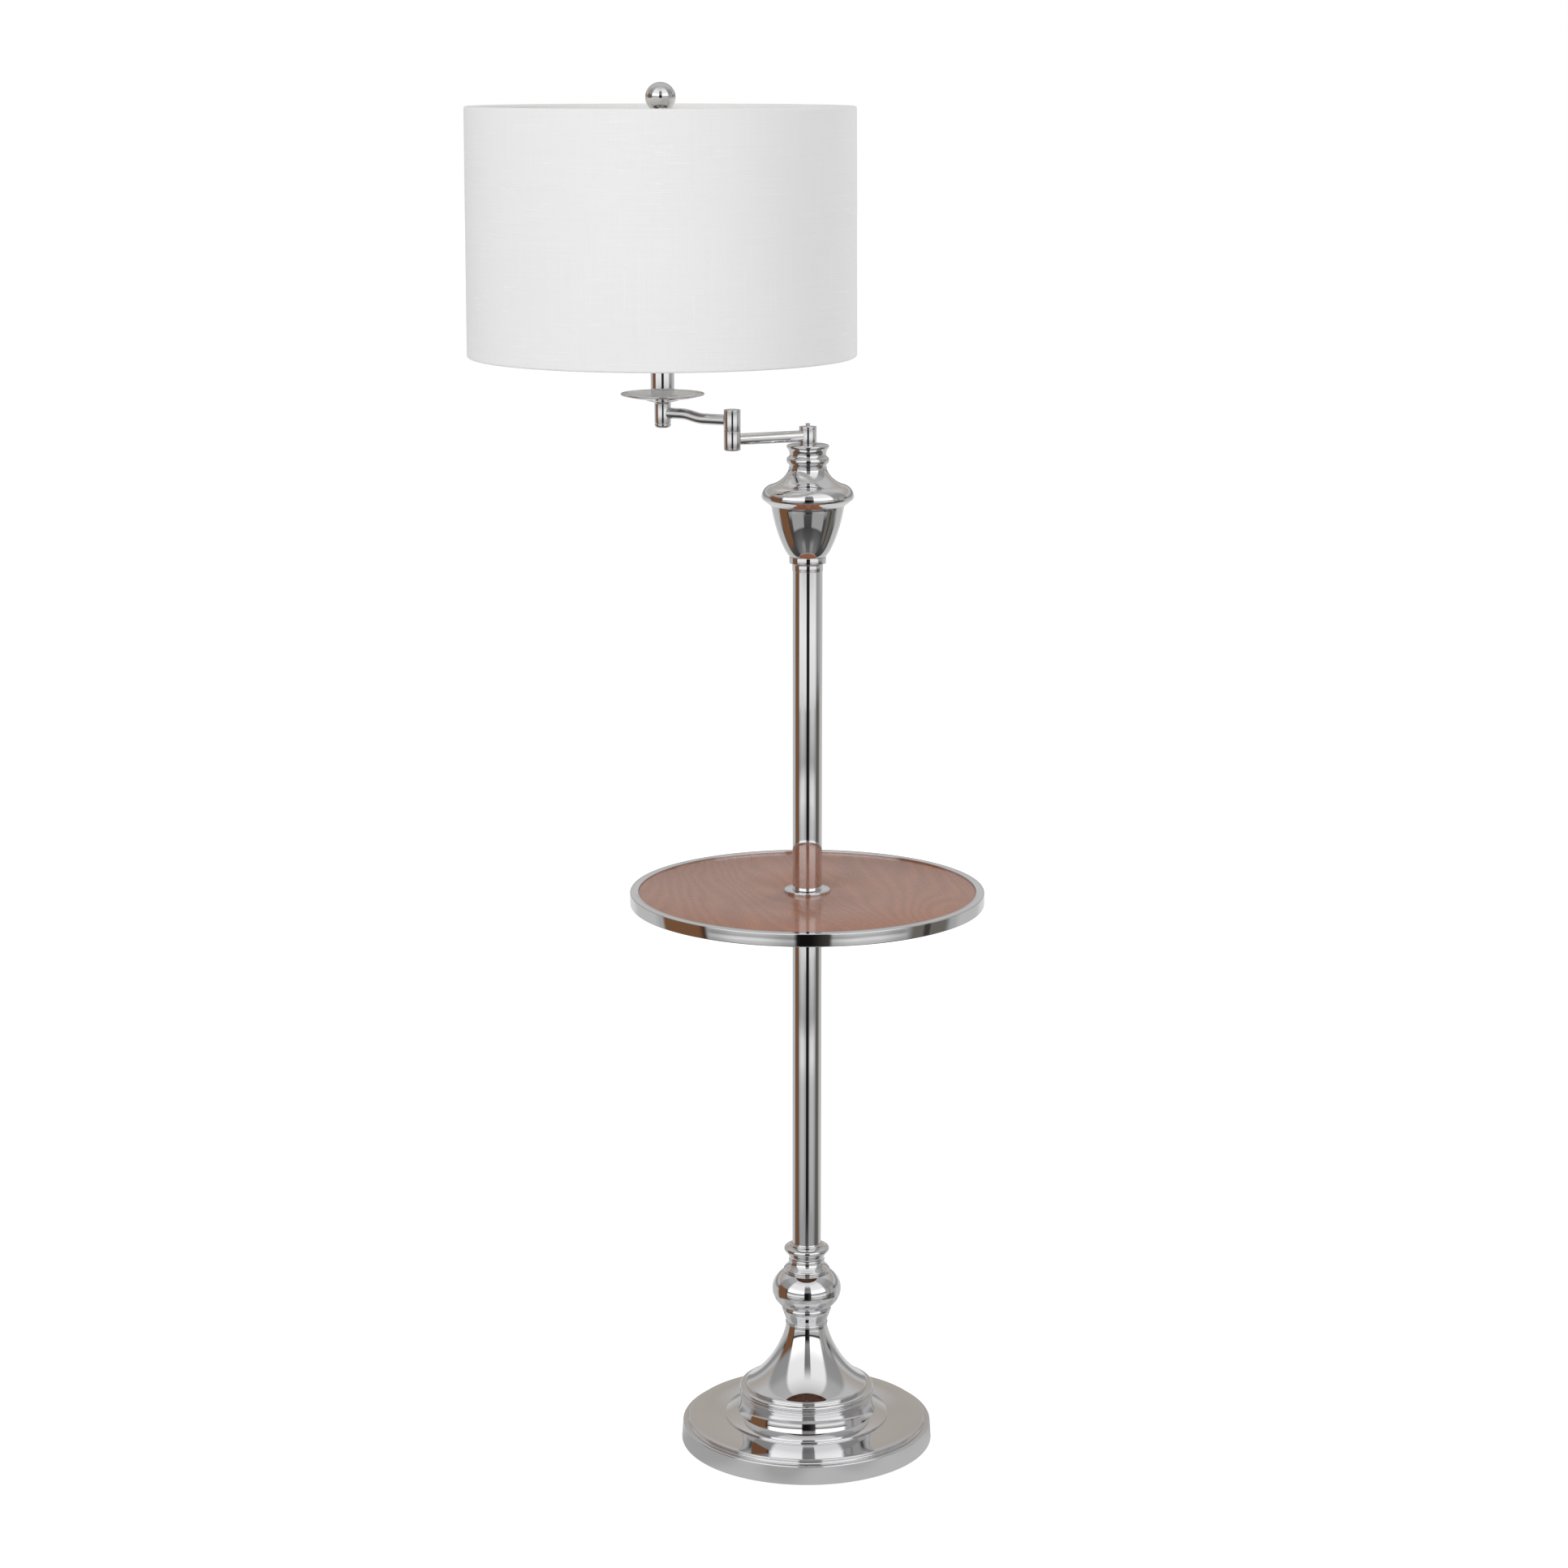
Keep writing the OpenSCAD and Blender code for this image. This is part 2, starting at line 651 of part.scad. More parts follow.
module table_board() color("rosybrown") difference() {
    edge_r = table_d / 2 - rim_wall - bolt_fit;
    lip_r = table_d / 2 - lip_w - bolt_fit;
    flange_r = flange_d / 2 + bolt_fit;
    seat = board_t - seat_cut;
    translate([0, 0, board_z]) turned([[edge_r, 0], [edge_r, seat], [lip_r, seat],
        [lip_r, board_t], [flange_r, board_t], [flange_r, seat]], pipe_hole_r);
    at_screws() rod(board_z - over, screw_bite + over + slide_gap, screw_d / 2 + run_fit);
}

module table_rim() color("silver") {
    r = table_d / 2;
    inner = r - rim_wall;
    edge = 1.2;
    z0 = table_h - rim_h;
    lip_z = board_top - seat_cut;
    rotate_extrude() polygon(concat(
        arc([r - edge, z0 + edge], edge, -90, 0, 4),
        arc([r - edge, table_h - edge], edge, 0, 90, 4),
        [[r - lip_w, table_h], [r - lip_w, lip_z], [inner, lip_z], [inner, z0]]));
}

module table_flange() color("silver") {
    side = concat([[flange_d / 2, -seat_cut]],
        arc([flange_d / 2 - flange_t / 2, flange_t / 2], flange_t / 2, 0, 90, 4));
    translate([0, 0, board_top]) turned(side, pipe_hole_r);
}

// Urn -------------------------------------------------------------------------------------

module urn_collar() color("silver") {
    ring_r = tube_r + 0.5;
    r = collar_d / 2;
    ring_h = 0.45 * collar_h;
    side = concat(
        [[ring_r, 0], [ring_r, ring_h], [ring_r - 0.8, ring_h + 0.4], [ring_r - 0.8, ring_h + 1.2]],
        arc([r - 0.9, ring_h + 2.1], 0.9, -90, 0, 4),
        arc([r - 0.9, collar_h - 0.9], 0.9, 0, 90, 4));
    translate([0, 0, pole_h]) turned(side, pipe_hole_r);
}

// Side of the urn's bowl, drawn in by inset
function bowl_side(inset) =
    let (foot = collar_d / 2 - 0.4 - inset, lip = bowl_d / 2 - inset, w = lip - foot)
    concat(
        curve([foot, 0], [foot + 0.35 * w, 0.13 * bowl_h],
            [foot + 0.8 * w, 0.56 * bowl_h], [lip - 0.6, bowl_h - 1.8], 18),
        [[lip + 0.3, bowl_h]]);

module urn_bowl() color("silver") translate([0, 0, bowl_z]) difference() {
    turned(bowl_side(0), pipe_hole_r);
    intersection() {
        turned(bowl_side(cast_wall));
        rod(cast_wall, bowl_h + over, bowl_d / 2);
    }
}

// Side of the bell, drawn in by inset
function bell_side(inset) =
    let (r = bell_d / 2 - inset, neck = bell_neck_d / 2 - inset, brow = neck + 0.7 * (r - neck),
        belly = 0.24 * bell_h)
    concat(
        [[bowl_d / 2 + 0.3 - inset, 0]],
        arc([r - 4.6, belly], 4.6, -55, 0, 5),
        curve([r, belly + 0.4], [r - 0.5, 0.36 * bell_h], [r - 3.4, 0.48 * bell_h],
            [brow, 0.525 * bell_h], 8),
        curve([brow, 0.525 * bell_h], [neck + 0.32 * (r - neck), 0.6 * bell_h],
            [neck + 0.06 * (r - neck), 0.78 * bell_h], [neck, bell_h - 1.5]),
        [[neck, bell_h]]);

module urn_bell() color("silver") translate([0, 0, bell_z]) difference() {
    turned(bell_side(0), pipe_hole_r);
    intersection() {
        turned(bell_side(cast_wall));
        rod(-over, bell_h - cast_wall + over, bell_d / 2);
    }
}

module urn_crown() color("silver") {
    r = crown_d / 2;
    foot = bell_neck_d / 2 - 0.6;
    waist = r - 3.1;
    rim = 1.6;
    side = concat(
        [[foot, 0], [foot, 0.06 * crown_h]],
        oval([r - 3.2, 0.3 * crown_h], 3.2, 0.17 * crown_h, -75, 75, 10),
        curve([waist, 0.53 * crown_h], [waist - 0.2, 0.68 * crown_h], [r - 1.6, 0.78 * crown_h],
            [r - 0.3, crown_h - 2 * rim - 0.4], 8),
        arc([r - rim, crown_h - rim - 0.5], rim, -20, 70, 6),
        [[r - 2 * rim, crown_h]]);
    translate([0, 0, crown_z]) turned(side, pipe_hole_r);
}

// Threaded pipe through the urn, whose smooth top is the hub's pivot
urn_pipe_top = hub_z + hub_floor + slide_gap + pivot_nut_h;
module urn_pipe() color("goldenrod") pipe(pole_h - plug_h, urn_pipe_top);

module pivot_nut() color("goldenrod") difference() {
    slot = 1.6;
    rod(urn_pipe_top - pivot_nut_h, pivot_nut_h, pivot_nut_r);
    rod(hub_z, hub_h, pipe_r + run_fit);
    translate([-pivot_nut_r, -slot / 2, urn_pipe_top - slot / 2])
        cube([2 * pivot_nut_r, slot, slot]);
}

// Mains wire from the grommet through the base and the pole to the hub
module pole_wire() color("ivory") rotate([0, 0, 90]) translate([wire_lean, 0, 0]) {
    bar(wire_bend, weight_r - wire_end, wire_z, wire_r);
    bend(wire_bend, wire_z + wire_bend, wire_bend, wire_r, 180, 90);
    rod(wire_z + wire_bend, urn_pipe_top - wire_z - wire_bend, wire_r);
}

// Swing arm -------------------------------------------------------------------------------

// Upright barrel with a chamber from z0 to z1 and a side hole for an arm's tube
module barrel(z, h, r, chamber_r, z0, z1, hole_r, hole_z) difference() {
    rod(z, h, r);
    rod(z0, z1 - z0, chamber_r);
    bar(0, r + over, hole_z, hole_r + run_fit);
}

module shoulder_hub() color("silver") at_shoulder() difference() {
    barrel(hub_z, hub_h, hub_r, hub_chamber_r, hub_z + hub_floor, hub_z + hub_h + over,
        lower_arm_r, lower_axis_z);
    rod(hub_z - over, hub_h, pipe_r + run_fit);
}

module shoulder_cap() color("silver") at_shoulder() {
    z = hub_z + hub_h;
    rod(z, cap_t, hub_r);
    rod(z - spigot_h, spigot_h + over, hub_chamber_r - run_fit);
    rod(z + cap_t, stud_h, stud_r);
}

module lower_arm_tube() color("silver") at_shoulder() {
    x0 = hub_chamber_r + tube_inset;
    x1 = lower_arm_len - elbow_chamber_r - tube_inset;
    difference() {
        bar(x0, x1, lower_axis_z, lower_arm_r);
        bar(x0 - over, x1 + over, lower_axis_z, lower_arm_r - arm_wall);
    }
}

module elbow_socket() color("silver") at_elbow() rotate([0, 0, lower_heading + 180]) difference() {
    barrel(elbow_low_z, elbow_low_h, elbow_r, elbow_chamber_r, elbow_low_z - over,
        split_z - elbow_floor, lower_arm_r, lower_axis_z);
    rod(elbow_low_z, elbow_low_h + over, pin_r + run_fit);
}

module elbow_foot() color("silver") at_elbow() {
    dome = 2.6;
    translate([0, 0, elbow_low_z]) rotate([180, 0, 0])
        turned(concat([[elbow_r - 0.3, 0], [elbow_r, 0.5]],
            oval([elbow_r - 2.4, 0.5], 2.4, dome - 0.5, 0, 90, 6)));
    rod(elbow_low_z - over, spigot_h + over, elbow_chamber_r - run_fit);
}

module elbow_pivot() color("goldenrod") at_elbow() {
    head_z = elbow_up_z + elbow_floor + slide_gap;
    difference() {
        union() {
            rod(split_z - elbow_floor, head_z - split_z + elbow_floor, pin_r);
            rod(head_z, pin_head_t, pin_head_r);
        }
        rod(split_z - elbow_floor - over, elbow_up_h, pin_bore_r);
    }
}

module elbow_barrel() color("silver") along_upper() difference() {
    barrel(elbow_up_z, elbow_up_h, elbow_r, elbow_chamber_r, elbow_up_z + elbow_floor,
        elbow_up_z + elbow_up_h + over, upper_arm_r, upper_axis_z);
    rod(elbow_up_z - over, elbow_up_h, pin_r + run_fit);
}

module elbow_cap() color("silver") at_elbow() {
    z = elbow_up_z + elbow_up_h;
    chamfer = 0.9;
    translate([0, 0, z])
        turned([[elbow_r, 0], [elbow_r, cap_t - chamfer], [elbow_r - chamfer, cap_t]]);
    rod(z - spigot_h, spigot_h + over, elbow_chamber_r - run_fit);
}

// Course of the upper arm's double bend: a bend up, a short slope and a bend back to level
bend_angle = 1.6 * atan(arm_rise / bend_run);
bend_radius = (bend_run * sin(bend_angle) - arm_rise * cos(bend_angle))
    / (2 - 2 * cos(bend_angle));
double_bend = concat(
    turn(bend_at - bend_run / 2, upper_axis_z + bend_radius, bend_radius, 0, bend_angle),
    turn(bend_at + bend_run / 2, head_axis_z - bend_radius, bend_radius, bend_angle, 0));

module upper_arm_tube() color("silver") along_upper() swept(concat(
    [[elbow_chamber_r + tube_inset, upper_axis_z, 0]],
    double_bend,
    [[upper_arm_len - stem_chamber_r - tube_inset, head_axis_z, 0]]),
    upper_arm_r, upper_arm_r - arm_wall, 32);

// Wires inside the arms, each turning from upright to level and back
arm_bend = wire_d;
module lower_arm_wire() color("ivory") at_shoulder() {
    start = urn_pipe_top + slide_gap;
    level = start + arm_bend;
    bend(arm_bend, start, arm_bend, wire_r, 90, 90);
    bar(arm_bend, lower_arm_len - arm_bend, level, wire_r);
    bend(lower_arm_len - arm_bend, level + arm_bend, arm_bend, wire_r, -90, 90);
    translate([lower_arm_len, 0, 0]) rod(level + arm_bend, split_z - level - arm_bend, wire_r);
}

module upper_arm_wire() color("ivory") along_upper() swept(concat(
    [[0, elbow_up_z, 90]],
    turn(arm_bend, upper_axis_z - arm_bend, arm_bend, 90, 0),
    double_bend,
    turn(upper_arm_len - arm_bend, head_axis_z + arm_bend, arm_bend, 0, 90),
    [[upper_arm_len, head_pipe_top, 90]]), wire_r, sides = 12);

// Head ------------------------------------------------------------------------------------

stem_roof = 4;
head_pipe_top = socket_z + 5;

module head_stem() color("silver") at_head() rotate([0, 0, upper_heading + 180]) difference() {
    barrel(stem_z, stem_h, stem_r, stem_chamber_r, stem_z - over, stem_top - stem_roof,
        upper_arm_r, head_axis_z);
    rod(stem_z, stem_h + over, pipe_r + run_fit);
}

module stem_tip() color("silver") at_head() {
    groove = 0.7;
    translate([0, 0, stem_z]) rotate([180, 0, 0])
        turned(concat([[stem_r - groove, 0], [stem_r - groove, groove], [stem_r, 2 * groove]],
            oval([stem_r - 3.4, tip_h - 3.4], 3.4, 3.4, 0, 90, 8)));
    rod(stem_z - over, spigot_h + over, stem_chamber_r - run_fit);
}

module head_pipe() color("goldenrod") at_head() pipe(stem_top - stem_roof, head_pipe_top);

module drip_cup() color("silver") at_head() {
    r = cup_d / 2;
    side = concat(curve([stem_r, 0], [stem_r + 1, 0.5 * cup_h], [r - 2, 0.45 * cup_h],
        [r, 0.75 * cup_h], 10), [[r, cup_h]]);
    translate([0, 0, stem_top]) turned(side, pipe_hole_r);
}

// Line of the drip pan's underside, from its foot to its rolled rim, raised by lift
function pan_line(lift) =
    let (r = pan_d / 2)
    curve([cup_d / 2, lift], [0.7 * r, lift], [0.8 * r, 0.35 * pan_h + lift],
        [r - 2 * pan_t, pan_h - 2 * pan_t + lift], 10);

module drip_pan() color("silver") at_head() {
    rim = arc([pan_d / 2 - pan_t, pan_h - pan_t], pan_t, -70, 160, 10);
    line = pan_line(pan_t);
    back = [for (i = [len(line) - 1:-1:0]) line[i]];
    translate([0, 0, pan_z]) rotate_extrude()
        polygon(concat([[pipe_hole_r, 0]], pan_line(0), rim, back, [[pipe_hole_r, pan_t]]));
}

module neck_tube() color("silver") at_head() difference() {
    rod(neck_z, neck_h, neck_r);
    rod(neck_z - over, neck_h + 2 * over, neck_r - neck_wall);
}

post_r = 2;
module harp_saddle() color("silver") at_head() {
    width = 12;
    difference() {
        union() {
            translate([-harp_post_x, -width / 2, saddle_z]) cube([2 * harp_post_x, width, saddle_t]);
            rod(saddle_z, saddle_t, neck_r);
            for (x = [-harp_post_x, harp_post_x]) translate([x, 0, 0]) {
                rod(saddle_z, saddle_t, width / 2);
                rod(saddle_z, saddle_t + ferrule_bore_h - slide_gap, post_r);
            }
        }
        rod(saddle_z - over, saddle_t + 2 * over, pipe_hole_r);
    }
}

// One side of the harp, from its ferrule to the foot of its arch
harp_arch_z = harp_top - harp_wire_d / 2 - harp_half_w;
ferrule_r = 3.4;
ferrule_h = 14;
ferrule_bore_h = 11;
harp_angle = 45;
lean_r = 16;
module harp_side() {
    wire = harp_wire_d / 2;
    slope = (harp_half_w - harp_post_x - 2 * lean_r * (1 - cos(harp_angle))) / sin(harp_angle);
    foot_z = socket_z + ferrule_h - over;
    slope_x = harp_post_x + lean_r * (1 - cos(harp_angle));
    slope_z = foot_z + lean_r * sin(harp_angle);
    side_z = slope_z + slope * cos(harp_angle) + lean_r * sin(harp_angle);
    difference() {
        translate([harp_post_x, 0, 0]) rod(socket_z, ferrule_h, ferrule_r);
        translate([harp_post_x, 0, 0]) rod(socket_z - over, ferrule_bore_h + over, post_r + run_fit);
    }
    bend(harp_post_x + lean_r, foot_z, lean_r, wire, 180 - harp_angle, harp_angle);
    translate([slope_x, 0, slope_z]) rotate([0, harp_angle, 0]) cylinder(h = slope, r = wire);
    bend(harp_half_w - lean_r, side_z, lean_r, wire, -harp_angle, harp_angle);
    translate([harp_half_w, 0, 0]) rod(side_z, harp_arch_z - side_z, wire);
    knuckle(slope_x, slope_z, wire);
    knuckle(slope_x + slope * sin(harp_angle), slope_z + slope * cos(harp_angle), wire);
    knuckle(harp_half_w, side_z, wire);
    knuckle(harp_half_w, harp_arch_z, wire);
}

stud_thread_r = 3;
seat_r = 7;
module harp() color("goldenrod") at_head() {
    harp_side();
    rotate([0, 0, 180]) harp_side();
    bend(0, harp_arch_z, harp_half_w, harp_wire_d / 2, 0, 180);
    rod(harp_top - harp_wire_d - 1, harp_seat_top - harp_top + harp_wire_d + 1, seat_r);
    rod(harp_seat_top - over, shade_over + over, stud_thread_r);
}

shell_t = 0.7;
module socket_cap() color("darkgoldenrod") at_head() {
    r = socket_d / 2;
    side = concat(
        curve([0.55 * r, 0], [0.85 * r, 0.05 * socket_cap_h], [r, 0.3 * socket_cap_h],
            [r, 0.7 * socket_cap_h], 8), [[r, socket_cap_h]]);
    inner = [for (p = side) [p[0] - shell_t, p[1] + 1.2]];
    translate([0, 0, socket_z]) difference() {
        turned(side, pipe_r + run_fit);
        turned(inner);
    }
}

body_r = socket_d / 2 - 2 * shell_t - 0.6;
spindle_r = 1.5;
spindle_bite = 7;
module socket_shell() color("goldenrod") at_head() {
    r = socket_d / 2 - shell_t - run_fit;
    bead = 0.8;
    overlap = 3;
    hole_r = 2.4;
    side = concat([[r, 0], [r, socket_shell_h + overlap - 3 * bead]],
        arc([r, socket_shell_h + overlap - bead], bead, -70, 70, 6),
        [[r, socket_shell_h + overlap]]);
    translate([0, 0, shell_z - overlap]) difference() {
        turned(side, body_r + 0.5);
        translate([0, 0, knob_z - shell_z + overlap]) rotate([90, 0, 0])
            cylinder(h = r + over, r = hole_r);
    }
}

module socket_body() color("black") at_head() difference() {
    union() {
        rod(head_pipe_top + slide_gap, screw_z - head_pipe_top - slide_gap, body_r - 2);
        rod(shell_z, screw_z - shell_z, body_r + 0.2);
    }
    translate([0, 0, knob_z]) rotate([90, 0, 0])
        rod(body_r - spindle_bite, spindle_bite + over, spindle_r + run_fit);
}

screw_r = bulb_cap_d / 2 + 0.3;
module screw_shell() color("peru") at_head() difference() {
    rod(screw_z, glass_z - screw_z - 2, screw_r + 0.6);
    rod(screw_z + 0.8, socket_shell_h, screw_r);
}

module bulb_cap() color("silver") at_head() {
    r = bulb_cap_d / 2;
    low = screw_z + 1.1;
    tip_h = 5;
    translate([0, 0, low])
        turned([[4.5, 0], [4.5, 1.4], [r - 1, tip_h], [r, tip_h + 1], [r, glass_z - low]]);
}

// Side of the bulb's glass, drawn in by inset
function bulb_side(inset) =
    let (r = bulb_d / 2, neck = bulb_cap_d / 2, ball = bulb_h - r)
    concat(
        curve([neck - inset, inset], [neck - inset, 0.2 * bulb_h], [r - inset, 0.25 * bulb_h],
            [r - inset, ball], 12),
        arc([0, ball], r - inset, 6, 90, 12));

module bulb() color("white") at_head() {
    glass = 1.2;
    translate([0, 0, glass_z]) difference() {
        turned(bulb_side(0));
        turned(bulb_side(glass));
    }
}

knob_gap = 4;
module switch_knob() color("goldenrod") at_head() translate([0, 0, knob_z]) rotate([90, 0, 0]) {
    start = socket_d / 2 + knob_gap;
    tip = body_r - spindle_bite + slide_gap;
    flat = 1.2;
    rod(tip, start - tip + over, spindle_r);
    translate([0, 0, start]) turned([[knob_d / 2 - flat, 0], [knob_d / 2, flat],
        [knob_d / 2, knob_len - flat], [knob_d / 2 - flat, knob_len]]);
}

// Shade -----------------------------------------------------------------------------------

hem_r = ring_d / 2 + bolt_fit + cloth_t;
shade_lean = (shade_foot_d - shade_top_d) / 2 / shade_h;
// Outer radius of the cloth at height z over the shade's foot
function cloth_r(z) = shade_foot_d / 2 - shade_lean * z;

module shade_ring_at(z) translate([0, 0, shade_z + z])
    rotate_extrude() translate([cloth_r(z) - hem_r, 0]) circle(d = ring_d);

hub_plate_t = 2.2;
plate_r = 11;
arm_r = 1.8;
// Straight arms from the plate to the top ring, of radius r, starting at distance from
module spider_arms(r, from) {
    arm_z = harp_seat_top + arm_r;
    run = cloth_r(shade_h - hem_r) - hem_r - from;
    drop = (shade_top - hem_r - arm_z) * run / (run + from - plate_r + 2);
    for (i = [0:spider_n - 1]) rotate([0, 0, 90 + 360 * i / spider_n])
        translate([from + run, 0, shade_top - hem_r]) rotate([0, 90 - atan(drop / run), 0])
            translate([0, 0, -norm([run, drop])]) cylinder(h = norm([run, drop]), r = r);
}

module shade_spider() color("goldenrod") at_head() {
    shade_ring_at(shade_h - hem_r);
    difference() {
        rod(harp_seat_top, hub_plate_t, plate_r);
        rod(harp_seat_top - over, hub_plate_t + 2 * over, stud_thread_r + bolt_fit);
    }
    spider_arms(arm_r, plate_r - 2);
}

module shade_ring() color("silver") at_head() shade_ring_at(hem_r);

// Outline of a hem: over the ring on the outer or the inner side of the cloth
function hem_arc(z, r, a, b) = arc([cloth_r(z) - hem_r, z], r, a, b, 8);
module shade_cloth() color("whitesmoke") at_head() {
    low = hem_r;
    high = shade_h - hem_r;
    in_r = hem_r - cloth_t;
    low_x = cloth_r(low) - hem_r;
    high_x = cloth_r(high) - hem_r;
    difference() {
        translate([0, 0, shade_z]) rotate_extrude() polygon(concat(
            hem_arc(high, hem_r, 0, 180),
            [[high_x - hem_r, shade_h - hem_h], [high_x - in_r, shade_h - hem_h]],
            hem_arc(high, in_r, 180, 0),
            hem_arc(low, in_r, 360, 180),
            [[low_x - in_r, hem_h], [low_x - hem_r, hem_h]],
            hem_arc(low, hem_r, 180, 360)));
        spider_arms(arm_r + bolt_fit, high_x - 2 * hem_r);
    }
}

module shade_lining() color("ivory") at_head() translate([0, 0, shade_z]) {
    low = 2 * hem_r;
    high = shade_h - 2 * hem_r;
    gap = cloth_t + run_fit;
    rotate_extrude() polygon([
        [cloth_r(low) - gap, low], [cloth_r(high) - gap, high],
        [cloth_r(high) - gap - lining_t, high], [cloth_r(low) - gap - lining_t, low]]);
}

module finial() color("silver") at_head() {
    r = finial_d / 2;
    foot_z = harp_seat_top + hub_plate_t;
    h = finial_z - foot_z;
    neck = 5;
    start = -acos(neck / r);
    side = concat([[7, 0], [7, 1.2], [neck, 2.4]], arc([0, h], r, start, 90, 20));
    translate([0, 0, foot_z]) difference() {
        turned(side);
        rod(-over, shade_over - hub_plate_t + over + slide_gap, stud_thread_r + run_fit);
    }
}

felt_pad();
base_weight();
base_plate();
base_nut();
base_pipe();
cord_grommet();
base_step();
base_drum();
base_flare();
stem_taper();
stem_ball();
stem_cap();
tube_plugs();
lower_tube();
table_bracket();
table_screws();
table_board();
table_rim();
table_flange();
table_pipe();
upper_tube();
urn_collar();
urn_bowl();
urn_bell();
urn_crown();
urn_pipe();
pivot_nut();
pole_wire();
shoulder_hub();
shoulder_cap();
lower_arm_tube();
elbow_socket();
elbow_foot();
elbow_pivot();
lower_arm_wire();
elbow_barrel();
elbow_cap();
upper_arm_tube();
head_stem();
stem_tip();
head_pipe();
drip_cup();
drip_pan();
neck_tube();
harp_saddle();
harp();
socket_cap();
socket_shell();
socket_body();
screw_shell();
switch_knob();
bulb_cap();
bulb();
shade_spider();
shade_ring();
shade_cloth();
shade_lining();
finial();
upper_arm_wire();
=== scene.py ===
"""Chrome floor lamp with a round wooden table on its pole and a linen drum on a swing arm."""
import json
import math

import bpy
import numpy as np
from bpy.props import FloatProperty, FloatVectorProperty, IntProperty, PointerProperty
from bpy.types import Operator, Panel, PropertyGroup
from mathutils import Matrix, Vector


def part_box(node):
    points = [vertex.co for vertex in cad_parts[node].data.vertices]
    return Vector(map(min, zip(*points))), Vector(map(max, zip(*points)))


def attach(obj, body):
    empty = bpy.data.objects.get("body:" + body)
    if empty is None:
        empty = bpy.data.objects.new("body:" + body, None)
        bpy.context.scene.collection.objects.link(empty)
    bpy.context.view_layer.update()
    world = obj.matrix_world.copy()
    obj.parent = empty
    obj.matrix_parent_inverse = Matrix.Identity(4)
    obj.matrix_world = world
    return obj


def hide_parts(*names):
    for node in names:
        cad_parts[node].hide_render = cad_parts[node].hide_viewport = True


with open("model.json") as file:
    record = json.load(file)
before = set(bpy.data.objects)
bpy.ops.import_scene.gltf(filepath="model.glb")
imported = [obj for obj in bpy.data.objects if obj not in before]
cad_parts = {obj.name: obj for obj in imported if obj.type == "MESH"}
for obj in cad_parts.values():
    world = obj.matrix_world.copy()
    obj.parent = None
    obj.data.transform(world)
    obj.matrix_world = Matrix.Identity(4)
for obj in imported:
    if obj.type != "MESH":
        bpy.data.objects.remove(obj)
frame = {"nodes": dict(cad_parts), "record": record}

bl_info = {
    "name": "Floor Lamp With Table",
    "version": (1, 0, 0),
    "blender": (4, 5, 0),
    "location": "View3D > Sidebar > Lamp",
    "description": "Builds the pieces, finishes and studio of a floor lamp with a table",
    "category": "Add Mesh",
}

MM = 0.001
ORIGIN = (0, 0, 0)
NODES = frame["nodes"]

for leftover in [o for o in bpy.data.objects if o.type in {"MESH", "LIGHT", "CAMERA"}]:
    if leftover.name not in NODES:
        bpy.data.objects.remove(leftover)
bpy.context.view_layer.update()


def spread(node):
    """Largest radius, foot and top of a round solid, in millimetres."""
    low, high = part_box(node)
    return (high.y - low.y) / 2 / MM, low.z / MM, high.z / MM


def middle(node):
    """Where the upright axis of a round solid stands, in metres."""
    low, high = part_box(node)
    return np.array([(low.x + high.x) / 2, (low.y + high.y) / 2, 0.0])


ELBOW = middle("elbow_cap")
HEAD = middle("neck_tube")
LOWER_HEADING = math.atan2(ELBOW[1], ELBOW[0])
UPPER_HEADING = math.atan2(HEAD[1] - ELBOW[1], HEAD[0] - ELBOW[0])


# Sizes and finishes --------

def length(name, description, default, low=0.0, high=2.0):
    """A size in metres."""
    return FloatProperty(name=name, description=description, default=default, min=low, max=high,
                         unit="LENGTH", precision=4)


def colour(name, description, default):
    """A linear colour."""
    return FloatVectorProperty(name=name, description=description, default=default, size=3,
                               min=0, max=1, subtype="COLOR")


def share(name, description, default):
    """A number from 0 to 1."""
    return FloatProperty(name=name, description=description, default=default, min=0, max=1,
                         subtype="FACTOR")


def angle(name, description, degrees):
    """An angle, whose default is given in degrees."""
    return FloatProperty(name=name, description=description, default=math.radians(degrees),
                         subtype="ANGLE")


def watts(name, default):
    """The power of a lamp."""
    return FloatProperty(name=name, description="Power in watts", default=default, min=0)


class LampBaseSizes(PropertyGroup):
    edge: length("Base edge", "Radius of the base plate's upper edge", 0.0015)
    rim_width: length("Rim width", "Distance from the plate's edge to its ring groove", 0.0064)
    drum_waist: length("Drum waist", "Diameter of the drum at its waist", 0.1456)
    drum_height: length("Drum height", "Height of the drum up to the groove under its bead", 0.0236)
    flare_neck: length("Trumpet neck", "Diameter of the trumpet foot's neck", 0.0458)
    ball_rise: length("Ball rise", "Half the height of the oval that the ball is cut from", 0.0278)
    stem_neck: length("Stem neck", "Diameter of the neck below the cap", 0.0386)
    cap: length("Cap ring", "Diameter of the cap ring round the tube", 0.0498)
    shoulder: length("Shoulder", "Diameter of the shoulder ring above the ball", 0.0506)


class LampTableSizes(PropertyGroup):
    lip_width: length("Lip width", "Width of the rim's flat lip", 0.009)
    lip_thickness: length("Lip thickness", "Thickness of the rim's lip", 0.0014)
    rim_wall: length("Rim wall", "Wall of the rim's upright band", 0.0016)


class LampUrnSizes(PropertyGroup):
    bowl: length("Bowl lip", "Diameter of the bowl's lip", 0.078)
    bell_neck: length("Bell neck", "Diameter of the bell's neck", 0.0404)


